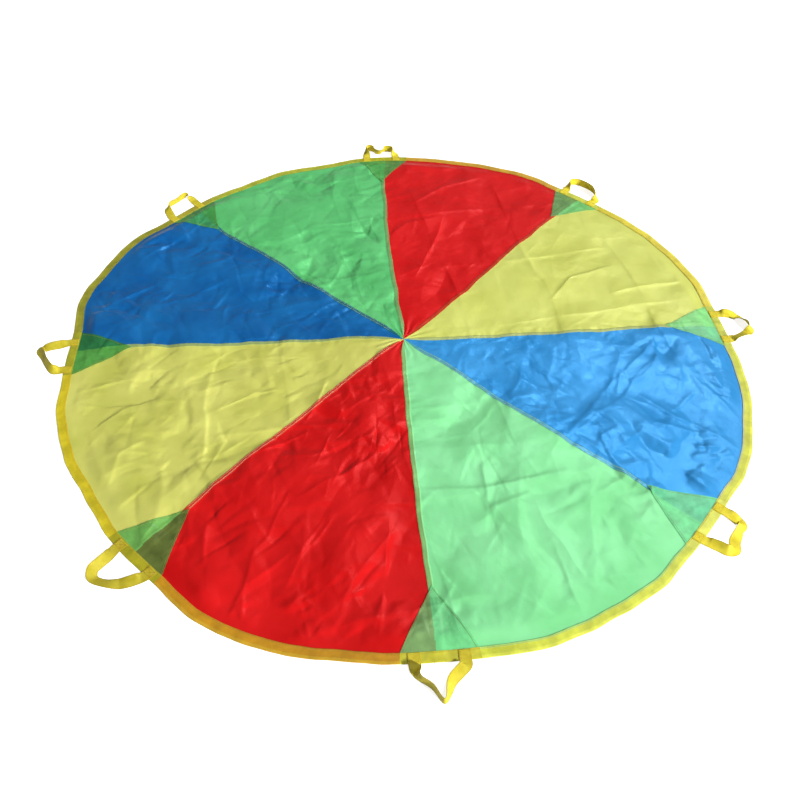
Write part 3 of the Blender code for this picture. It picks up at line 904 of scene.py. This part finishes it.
def patch_above(along, across):
    """How far a patch is above the cloth's underside: over the lap in the middle, lower beside it."""
    over_lap = smooth(-np.abs(across + LAP / 3), -0.018, -0.009)
    tucked = smooth(along, INNER_EDGE - 0.008, INNER_EDGE - 0.002)
    return CLOTH + FIT + LAP_RISE * over_lap + FIT * (1 - tucked)


def make_patch(number, place):
    """One patch, which widens from its point to the tape, with the tones of the two gores under it and
    painted light.
    """
    patch, row, column = cloth_grid(f"seam_patch_{place}_cloth", PATCH_ROWS, PATCH_COLUMNS)
    share = np.maximum(row / PATCH_ROWS, PATCH_POINT_SHARE)
    side = column / PATCH_COLUMNS * 2 - 1
    half_spread = math.asin(PATCH_WIDTH / 2 / INNER_EDGE)
    base = INNER_EDGE + TUCK
    apex = INNER_EDGE - PATCH_LENGTH
    out_x = apex + (base * np.cos(side * half_spread) - apex) * share
    out_y = base * np.sin(side * half_spread) * share
    x, y = from_seam(number, out_x, out_y)
    edge = 1 - np.abs(side)
    hem = HEM_RISE * smooth(-edge * PATCH_WIDTH / 2 * share, -0.006, -0.004) * (edge > 0.001)
    move_vertices(patch, lay(x, y, patch_above(out_x, out_y) + hem))
    remember(patch, "cut", flat_places(x, y))
    remember(patch, "side", out_y)
    thicken(patch, PATCH_PLY)
    sides = np.empty(len(patch.data.vertices))
    patch.data.attributes["side"].data.foreach_get("value", sides)
    tones = np.array([colour(*tone) for tone in PATCH_TONES_AND_PAINTED_LIGHT[number]])
    store_tones(patch, tones[(face_means(patch, sides) > -LAP * 0.9).astype(int)])
    patch.data.attributes.remove(patch.data.attributes["side"])
    patch.data.materials.append(patch_material)
    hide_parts(f"seam_patch_{place}")
    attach(patch, half_of(number))
    return patch


patches = [make_patch(number, place) for number, place in enumerate(PLACES)]
print("patches:", len(patches))

# %% [markdown]
# A line of stitches runs just inside the two long edges of each patch.
# %% Stitching round the patches
PATCH_HEM = 0.0045
THREAD_SEAT = 0.0003


def patch_edge_line(hand):
    """How far out and aside the stitches are that run inside one long edge of a patch."""
    apex = INNER_EDGE - PATCH_LENGTH
    slope = PATCH_WIDTH / 2 / PATCH_LENGTH
    inset = PATCH_HEM * math.hypot(1, slope)
    step = STITCH_PITCH * math.cos(math.atan(slope))
    out = np.arange(apex + inset / slope, INNER_EDGE - STITCH_END, step)
    return out, hand * ((out - apex) * slope - inset)


for number, place in enumerate(PLACES):
    for letter, hand in (("a", -1), ("b", 1)):
        out, aside = patch_edge_line(hand)
        x, y = from_seam(number, out, aside)
        above = patch_above(out, aside) + PATCH_PLY + THREAD_SEAT
        sew(f"patch_stitches_{place}_{letter}", x, y, above, "olive", half_of(number))
print("patch edges stitched:", 2 * len(PLACES))

# %% [markdown]
# The raw edge of the circle is closed in a thin yellow tape, folded in half over it. The tape is a ring
# with a folded profile: over the top, round the edge and back underneath. It is thin enough for the
# panels to show through, so its tones are stored on the faces as on the patches. Outside the cloth's own
# edge nothing lies under the tape, and there it is a clear yellow. The stored tones also hold painted
# light: the tape is darker at the left and front as painted shade, and lighter at the right.
# %% Tape folded over the edge
RIM_STEPS = 1536
HEM_BENDS = 6
PUCKER = 0.00016
SEAM_BULK = 0.0005
RUFFLE = 0.0007
RIM_WAVE = 0.0030
MERGE = 0.00001
# What shows through the tape over each gore, as inner line, middle and outer line, with painted light: darker
# at the left and front as painted shade, lighter at the right.
TAPE_TONES_AND_PAINTED_LIGHT = {
    "blue_gore_right": ((216, 226, 146), (212, 216, 64), (230, 232, 84)),
    "yellow_gore_back": ((229, 211, 60), (226, 210, 64), (236, 222, 76)),
    "red_gore_back": ((202, 146, 44), (206, 160, 52), (222, 188, 72)),
    "green_gore_back": ((166, 175, 54), (171, 176, 56), (196, 194, 66)),
    "blue_gore_left": ((126, 128, 50), (148, 148, 48), (165, 160, 50)),
    "yellow_gore_front": ((205, 182, 36), (207, 189, 38), (212, 196, 46)),
    "red_gore_front": ((190, 132, 26), (198, 143, 28), (205, 162, 44)),
    "green_gore_front": ((192, 236, 124), (216, 224, 66), (230, 236, 84)),
}
# The tape's tone over each patch, with painted light: darker at the left and front, lighter at the right.
PATCHED_TAPE_TONES_AND_PAINTED_LIGHT = [
    (207, 211, 72), (202, 206, 76), (172, 172, 38), (172, 166, 56),
    (163, 163, 43), (169, 163, 35), (207, 202, 55), (230, 234, 90),
]


def tape_profile():
    """The folded tape in section: distance out and height above its underside, going once round."""
    fold = BINDING_TOP / 2
    bends = np.linspace(-math.pi / 2, math.pi / 2, HEM_BENDS + 1)

    def bend_round(size):
        return [(RADIUS - fold + size * math.cos(bend), fold + size * math.sin(bend)) for bend in bends]

    ways = [RADIUS - fold - 0.006, RADIUS - fold - 0.013, INNER_EDGE + 0.005, INNER_EDGE + 0.0008]
    over = [(way, BINDING_TOP) for way in ways] + [(INNER_EDGE, BINDING_TOP - BINDING_PLY / 2)]
    over += [(way, BINDING_TOP - BINDING_PLY) for way in reversed(ways)]
    under = [(way, BINDING_PLY) for way in ways] + [(INNER_EDGE, BINDING_PLY / 2)]
    under += [(way, 0) for way in reversed(ways)]
    return np.array(bend_round(fold) + over + bend_round(fold - BINDING_PLY)[::-1] + under)


tape_section = tape_profile()


def tape_surface(turn, out, height):
    """Lays a point of the tape, given its angle, its way out and its height above the tape's underside."""
    x = out * np.cos(turn)
    y = out * np.sin(turn)
    _, _, across = seam_distance(x, y)
    pucker = PUCKER * hills(turn * 60, out * 40, 1.0, 81) * (height > BINDING_TOP / 2)
    bulk = SEAM_BULK * smooth(-np.abs(across + LAP / 3), -0.022, -0.010) * (height > BINDING_TOP / 2)
    ruffle = RUFFLE * hills(turn * 22, out * 0, 1.0, 82)
    wave = RIM_WAVE * hills(np.cos(turn), np.sin(turn), 0.075, 83) * smooth(np.abs(across), 0.09, 0.15)
    scale = 1 - laid_slack(turn) / RADIUS
    radius = (out + ruffle * (out > RADIUS - 0.004) + wave) * scale
    lift = rim_lift(x, y)
    return np.stack([radius * np.cos(turn), radius * np.sin(turn), height + pucker + bulk + lift], axis=-1)


def tape_tones(turn, out):
    """What shows through the tape at each face, with painted light: inner line, middle and outer line of what
    lies beneath.
    """
    gore = np.rint(turn / (2 * HALF_GORE)).astype(int) % GORES
    number, _, across = seam_distance(out * np.cos(turn), out * np.sin(turn))
    table = np.array([[colour(*tone) for tone in TAPE_TONES_AND_PAINTED_LIGHT[name]] for name in GORE_NAMES])
    patched = np.array([colour(*tone) for tone in PATCHED_TAPE_TONES_AND_PAINTED_LIGHT])
    inner = smooth(-out, -(INNER_EDGE + 0.0065), -(INNER_EDGE + 0.0045))[:, None]
    outer = smooth(out, RADIUS - 0.0085, RADIUS - 0.0050)[:, None]
    tones = table[gore, 0] * inner + table[gore, 1] * (1 - inner - outer) + table[gore, 2] * outer
    return np.where((np.abs(across) < PATCH_WIDTH / 2)[:, None], patched[number], tones)


def make_tape():
    """The whole ring of tape. Its grid is closed round the edge and round the fold by merging."""
    points = np.vstack([tape_section, tape_section[:1]])
    tape, row, column = cloth_grid("edge_tape", RIM_STEPS, len(points) - 1)
    turn = 2 * math.pi * row / RIM_STEPS
    out = points[column, 0]
    height = points[column, 1]
    move_vertices(tape, tape_surface(turn, out, height))
    remember(tape, "cut", flat_places(turn * RADIUS, out))
    store_tones(tape, tape_tones(face_means(tape, turn), face_means(tape, out)))
    bpy.ops.object.mode_set(mode="EDIT")
    bpy.ops.mesh.select_all(action="SELECT")
    bpy.ops.mesh.remove_doubles(threshold=MERGE)
    bpy.ops.mesh.normals_make_consistent(inside=False)
    bpy.ops.object.mode_set(mode="OBJECT")
    bpy.ops.object.shade_smooth_by_angle(angle=SMOOTH_ANGLE)
    tape.data.materials.append(tape_material)
    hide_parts("edge_binding_back", "edge_binding_front")
    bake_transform(tape)
    return tape


tape_material = two_tone_cloth("edge_tape_cloth")
tape = make_tape()
print("vertices in the tape:", len(tape.data.vertices))

# %% [markdown]
# One line of stitches holds the tape down, close to its inner edge. It is cut in two where the parachute
# folds.
# %% Stitching along the tape
TAPE_LINE = 0.0035


for side, start in (("back", 0), ("front", math.pi)):
    step = STITCH_PITCH / RADIUS
    turn = np.arange(start + step, start + math.pi - step / 2, step)
    out = np.full_like(turn, INNER_EDGE + TAPE_LINE)
    centres = tape_surface(turn, out, np.full_like(turn, BINDING_TOP))
    stitch_line(f"tape_stitches_{side}", centres, np.gradient(centres, axis=0), "gold", f"{side}_half")
    print("tape stitches at the", side, len(centres))

# %% [markdown]
# A hand loop is one strap of woven webbing. Both its ends are sewn flat on the tape, and the loop between
# them lies on the floor outside the edge, twisted the way it happened to fall. Its line goes through
# given stations: how far out, how far along the edge, and how far the webbing leans from flat.
# %% Hand loops
LOOP_SHARES = {
    "right_back": (-0.05, [
        (0, -1, 0), (0.3, -0.9, -30), (0.75, -0.65, -20), (1.05, -0.35, 30), (1.05, -0.05, 60),
        (0.95, 0.3, 45), (0.75, 0.75, 0), (0.35, 0.95, -30), (0, 1, 0)]),
    "back_right": (0.02, [
        (0, -1, 0), (0.3, -1.05, 20), (0.6, -0.95, 65), (1.1, -0.4, 80), (1.25, 0.2, 85), (1.2, 0.8, 85),
        (0.8, 1.2, 80), (0.3, 1.1, 30), (0, 1, 0)]),
    "back_left": (0.05, [
        (0, -1, 0), (0.4, -0.95, 20), (0.9, -0.85, 75), (1.15, -0.5, 85), (1.05, -0.2, 75), (0.6, -0.05, 65),
        (0.5, 0.15, 65), (0.7, 0.4, 75), (1.15, 0.5, 85), (1.4, 0.8, 85), (1.1, 1.05, 75), (0.5, 1, 35),
        (0, 1, 0)]),
    "left_back": (0.175, [
        (0, -1, 0), (0.55, -1.1, 5), (1, -1.15, 25), (1.2, -0.9, 75), (1.1, -0.2, 70), (1.1, 0.35, 70),
        (0.95, 0.65, 35), (0.45, 0.85, 10), (0, 1, 0)]),
    "left_front": (0.11, [
        (0, -1, 0), (0.35, -0.85, -20), (0.85, -0.7, -10), (1.05, -0.45, 30), (0.85, 0.05, 50),
        (0.65, 0.55, 55), (0.35, 1.05, 45), (0, 1, 0)]),
    "front_left": (0.04, [
        (0, -1, 0), (0.4, -0.9, -25), (0.8, -0.85, -40), (1.1, -0.8, -40), (1.3, -0.45, -30),
        (1.1, 0.1, -25), (0.7, 0.55, 5), (0.3, 0.85, 15), (0, 1, 0)]),
    "front_right": (-0.02, [
        (0, -1, 0), (0.25, -0.95, 40), (0.5, -0.85, 80), (0.8, -0.4, 85), (1.25, 0, 85), (0.65, 0.35, 40),
        (0.35, 0.7, 20), (0.15, 0.97, 15), (0, 1, 0)]),
    "right_front": (0.05, [
        (0, -1, 0), (0.55, -0.9, 25), (0.95, -0.85, 35), (1.15, -0.55, 15), (0.98, -0.15, 0),
        (0.9, 0.45, 40), (0.85, 0.85, 15), (0.45, 0.98, -10), (0, 1, 0)]),
}
LOOP_STEPS = 96
STRAP_COLUMNS = 10
STRAIGHT_RUN = 0.004
TURN_RUN = 0.018
SETTLE_RUN = 0.030
LYING_HEIGHT = WEBBING_PLY / 2 + FIT
SEWN_STEPS = 12
HINGE_START = 0.0008
ROUNDING = 0.00028
EDGE_TRIM = 0.0004


def smooth_route(stations, steps):
    """Points on one smooth curve through the stations, evenly spaced by their count."""
    stations = np.array(stations, float)
    points = np.vstack([2 * stations[0] - stations[1], stations, 2 * stations[-1] - stations[-2]])
    place = np.linspace(0, len(stations) - 1, steps + 1)
    span = np.minimum(place.astype(int), len(stations) - 2)
    t = (place - span)[:, None]
    a, b, c, d = points[span], points[span + 1], points[span + 2], points[span + 3]
    square = (2 * a - 5 * b + 4 * c - d) * t ** 2
    return 0.5 * (2 * b + (c - a) * t + square + (3 * b - a - 3 * c + d) * t ** 3)


def run_along(line):
    """How far along a line each of its points is."""
    return np.concatenate([[0], np.cumsum(np.linalg.norm(np.diff(line, axis=0), axis=1))])


def loop_line(shift, stations, reach):
    """The middle line of a laid loop, out from the hinge as x, along it as y and up as z, and its leans."""
    route = smooth_route(stations, LOOP_STEPS)
    flat = np.stack([route[:, 0] * reach, route[:, 1] * LEG_SPACING / 2 + shift], axis=-1)
    run = run_along(flat)
    from_end = np.minimum(run, run[-1] - run)
    leans = np.radians(route[:, 2]) * smooth(from_end, STRAIGHT_RUN, TURN_RUN)
    height = LYING_HEIGHT + WEBBING_WIDTH / 2 * np.abs(np.sin(leans))
    height += (HINGE_HEIGHT - LYING_HEIGHT) * (1 - smooth(from_end, STRAIGHT_RUN, SETTLE_RUN))
    return np.column_stack([flat, height]), leans


def fitted_loop(shift, stations):
    """The loop's line at the reach that uses up exactly LOOP_LENGTH of webbing."""
    low, high = 0.0, LOOP_LENGTH
    for _ in range(40):
        reach = (low + high) / 2
        line, _ = loop_line(shift, stations, reach)
        if run_along(line)[-1] < LOOP_LENGTH:
            low = reach
        else:
            high = reach
    return loop_line(shift, stations, low)


def strap_frame(shift, stations):
    """The whole strap's middle line and the direction across it, sewn ends and all."""
    line, leans = fitted_loop(shift, stations)
    sewn = np.linspace(-SEWN_GAP - SEWN_LENGTH, -HINGE_START, SEWN_STEPS + 1)
    level = np.full_like(sewn, HINGE_HEIGHT)
    first = np.column_stack([sewn, np.full_like(sewn, line[0, 1]), level])
    last = np.column_stack([sewn[::-1], np.full_like(sewn, line[-1, 1]), level])
    ahead = np.gradient(line, axis=0)
    ahead[[0, -1], 1] = 0
    ahead = unit(ahead)
    inward = unit(np.cross([0, 0, 1], ahead))
    across = inward * np.cos(leans)[:, None] + np.cross(ahead, inward) * np.sin(leans)[:, None]
    line = np.vstack([first, line, last])
    across = np.vstack([np.tile([0, 1, 0], (len(sewn), 1)), across, np.tile([0, -1, 0], (len(sewn), 1))])
    return line, across


def hinge_of(place):
    """Where the frame says that a loop's hinge is."""
    for joint in frame["record"]["behaviour"]["joints"]:
        if joint["name"] == f"flop_{place}":
            return np.array(joint["pos_m"])


# Painted light on the straps: each strap's yellow is scaled down as painted shade at the left and front, and
# up at the right.
WEBBING_PAINTED_LIGHT = [1.0, 1.1, 0.82, 0.76, 0.68, 0.62, 0.78, 1.08]
WEBBING_YELLOWS = [(222, 204, 40), (242, 226, 66)]
SELVEDGE_TINT = (0.82, 0.76, 0.62, 1)
SELVEDGE_START = 0.0032
SELVEDGE_FULL = 0.0018


def webbing(name, painted_light):
    """Coarse woven webbing: ribs across, cords along, darker selvedges. Each strap's yellow is scaled by
    painted light.
    """
    material, tree, shader = new_material(name)
    strap = attribute(tree, "strap")
    dark, light = [(*[painted_light * part for part in colour(*tone)[:3]], 1) for tone in WEBBING_YELLOWS]
    drift = colour_drift(tree, strap, dark, light, 0.020)
    aside = calculate(tree, "ABSOLUTE", add_node(tree, "SeparateXYZ", Vector=strap).outputs["Y"])
    selvedge = add_node(tree, "MapRange", Value=aside, From_Min=WEBBING_WIDTH / 2 - SELVEDGE_START,
                        From_Max=WEBBING_WIDTH / 2 - SELVEDGE_FULL)
    bump = noise_bump(tree, strap, 0.0010, 0.00012, thread_bump(tree, strap, 0.0014, 0.00022))
    set_up(tree, shader, Base_Color=multiplied(tree, drift, SELVEDGE_TINT, selvedge.outputs["Result"]),
           Normal=bump.outputs["Normal"], Roughness=0.62, Specular_IOR_Level=0.3)
    return material


def make_strap(number, place):
    """One hand loop with its sewn ends, as a ribbon that gets its thickness and rounded edges."""
    shift_share, stations = LOOP_SHARES[place]
    line, across = strap_frame(shift_share * LEG_SPACING, stations)
    strap, row, column = cloth_grid(f"hand_loop_{place}", len(line) - 1, STRAP_COLUMNS)
    side = (column / STRAP_COLUMNS - 0.5) * (WEBBING_WIDTH - EDGE_TRIM)
    local = line[row] + across[row] * side[:, None]
    hinge = hinge_of(place)
    x, y = from_seam(number, local[:, 0], local[:, 1])
    move_vertices(strap, np.stack([hinge[0] + x, hinge[1] + y, local[:, 2]], axis=-1))
    remember(strap, "strap", flat_places(run_along(line)[row], side))
    solidify = strap.modifiers.new("thickness", "SOLIDIFY")
    solidify.thickness = WEBBING_PLY
    solidify.offset = 0
    bevel = strap.modifiers.new("rounded edges", "BEVEL")
    bevel.width = ROUNDING
    bevel.segments = 2
    bevel.limit_method = "ANGLE"
    bevel.angle_limit = math.radians(60)
    apply_modifiers(strap)
    bpy.ops.object.shade_smooth_by_angle(angle=SMOOTH_ANGLE)
    strap.data.materials.append(webbing(f"webbing_weave_{place}", WEBBING_PAINTED_LIGHT[number]))
    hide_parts(f"handle_{place}_loop", f"handle_{place}_sewn_end_a", f"handle_{place}_sewn_end_b")
    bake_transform(strap)
    return strap


straps = [make_strap(number, place) for number, place in enumerate(PLACES)]
print("hand loops:", len(straps), "each", LOOP_LENGTH, "m of webbing between its sewn ends")

# %% [markdown]
# Each sewn end is held by a box of stitches with a cross in it, the strongest way to sew a strap to
# cloth.
# %% Stitched boxes on the straps' ends
BOX_INSET = 0.0035
BOX_THREADS = {"front_left": "rust"}


def stitched_path(points):
    """Stitch centres and directions along straight runs between points."""
    centres, aheads = [], []
    for start, end in zip(points, points[1:]):
        start = np.array(start, float)
        end = np.array(end, float)
        length = np.linalg.norm(end - start)
        count = max(2, round(length / STITCH_PITCH))
        for step in range(count):
            centres.append(start + (end - start) * (step + 0.5) / count)
            aheads.append((end - start) / length)
    return centres, aheads


def sew_box(number, place, letter, side):
    """The stitched box and cross on one sewn end."""
    shift_share, _ = LOOP_SHARES[place]
    middle = side * LEG_SPACING / 2 + shift_share * LEG_SPACING
    near = -SEWN_GAP - BOX_INSET
    far = -SEWN_GAP - SEWN_LENGTH + BOX_INSET
    left = middle - WEBBING_WIDTH / 2 + BOX_INSET
    right = middle + WEBBING_WIDTH / 2 - BOX_INSET
    box = [(near, left), (near, right), (far, right), (far, left), (near, left), (far, right)]
    centres, aheads = stitched_path(box)
    more_centres, more_aheads = stitched_path([(near, right), (far, left)])
    x, y = from_seam(number, *np.array(centres + more_centres).T)
    hinge = hinge_of(place)
    top = np.full_like(x, HINGE_HEIGHT + WEBBING_PLY / 2)
    places = np.column_stack([hinge[0] + x, hinge[1] + y, top])
    ways = flat_places(*from_seam(number, *np.array(aheads + more_aheads).T))
    thread = BOX_THREADS.get(place, "gold")
    stitch_line(f"box_stitches_{place}_{letter}", places, ways, thread, half_of(number))


for number, place in enumerate(PLACES):
    for letter, side in (("a", -1), ("b", 1)):
        sew_box(number, place, letter, side)
print("stitched boxes:", 2 * len(PLACES))

# %% [markdown]
# The parachute lies on a white studio floor. The floor takes a faint shadow from the light, and for the
# camera it is lifted to white, so that the picture's background is clean. A low sun lamp at the right
# rakes over the creases, and a weak one from behind makes tilted facets flash, as silky cloth does. A dim
# white sky fills the shadows. The camera sees that sky as plain white, and the cloth mirrors a little of
# it from low down, as it would mirror studio walls.
# %% Floor, light and camera
FLOOR_SIZE = 60
FLOOR_GLOW = 0.78


def white_floor():
    """Matt white, lifted for the camera and for mirror rays. Other light sees it as it is."""
    material, tree, shader = new_material("white_floor")
    place = add_node(tree, "TexCoord").outputs["Object"]
    grain = add_node(tree, "TexNoise", Vector=place, Scale=3, Detail=2)
    tint = colour_drift(tree, grain.outputs["Color"], (0.86, 0.86, 0.86, 1), (0.88, 0.88, 0.88, 1), 1)
    rays = add_node(tree, "LightPath").outputs
    seen = calculate(tree, "ADD", rays["Is Camera Ray"], rays["Is Glossy Ray"])
    seen = calculate(tree, "ADD", seen, rays["Is Transmission Ray"])
    set_up(tree, shader, Base_Color=tint, Roughness=0.8, Emission_Color=(1, 1, 1, 1),
           Emission_Strength=calculate(tree, "MULTIPLY", seen, FLOOR_GLOW))
    return material


bpy.ops.object.select_all(action="DESELECT")
bpy.ops.mesh.primitive_plane_add(size=FLOOR_SIZE)
floor = bpy.context.object
floor.name = "floor"
floor.data.materials.append(white_floor())


def sun(name, strength, azimuth, height, softness):
    """A sun lamp at an azimuth, 0 in front and 90 at the right, and at a height, both in degrees."""
    lamp = bpy.data.lights.new(name, "SUN")
    lamp.energy = strength
    lamp.angle = math.radians(softness)
    thing = bpy.data.objects.new(name, lamp)
    bpy.context.scene.collection.objects.link(thing)
    turn = math.radians(azimuth)
    rise = math.radians(height)
    source = Vector((math.sin(turn) * math.cos(rise), -math.cos(turn) * math.cos(rise), math.sin(rise)))
    thing.rotation_euler = source.to_track_quat("Z", "Y").to_euler()


sun("key", strength=4.5, azimuth=68, height=26, softness=5)
sun("sheen", strength=1.0, azimuth=165, height=52, softness=8)

SKY_STRENGTH = 0.14
WALL_STRENGTH = 0.5
WALL_TOP = 0.22
WALL_WHITE = 0.06


def studio():
    """A dim white sky that the camera sees as white. Mirror rays see some white low down, as studio walls."""
    world = bpy.data.worlds.new("studio")
    bpy.context.scene.world = world
    world.use_nodes = True
    tree = world.node_tree
    rays = add_node(tree, "LightPath").outputs
    direction = add_node(tree, "SeparateXYZ", Vector=add_node(tree, "TexCoord").outputs["Generated"])
    walls = add_node(tree, "MapRange", Value=direction.outputs["Z"], From_Min=WALL_TOP, From_Max=WALL_WHITE,
                     To_Max=WALL_STRENGTH)
    mirrored = calculate(tree, "MULTIPLY", walls.outputs["Result"], rays["Is Glossy Ray"])
    white = calculate(tree, "ADD", rays["Is Camera Ray"], mirrored)
    white = calculate(tree, "ADD", white, rays["Is Transmission Ray"])
    strength = add_node(tree, "MapRange", Value=white, To_Min=SKY_STRENGTH)
    set_up(tree, tree.nodes["Background"], Color=(1, 1, 1, 1), Strength=strength.outputs["Result"])


studio()

CAMERA_PLACE = Vector((0.4678, -1.5570, 1.5803))
CAMERA_AIM = Vector((-0.1923, 0.6309, -0.7517))
CAMERA_ROLL = math.radians(1.43)
LENS = 34.26
SENSOR = 36
right = CAMERA_AIM.cross(Vector((0, 0, 1))).normalized()
up = right.cross(CAMERA_AIM).normalized()
turned_right = right * math.cos(CAMERA_ROLL) + up * math.sin(CAMERA_ROLL)
turned_up = up * math.cos(CAMERA_ROLL) - right * math.sin(CAMERA_ROLL)
lens = bpy.data.cameras.new("camera")
lens.lens = LENS
lens.sensor_width = SENSOR
camera = bpy.data.objects.new("camera", lens)
bpy.context.scene.collection.objects.link(camera)
axes = Matrix((turned_right, turned_up, -CAMERA_AIM.normalized())).transposed()
camera.matrix_world = Matrix.Translation(CAMERA_PLACE) @ axes.to_4x4()
bpy.context.scene.camera = camera
bpy.context.scene.view_settings.view_transform = "Standard"
print("camera height:", round(camera.location.z, 2), "m")
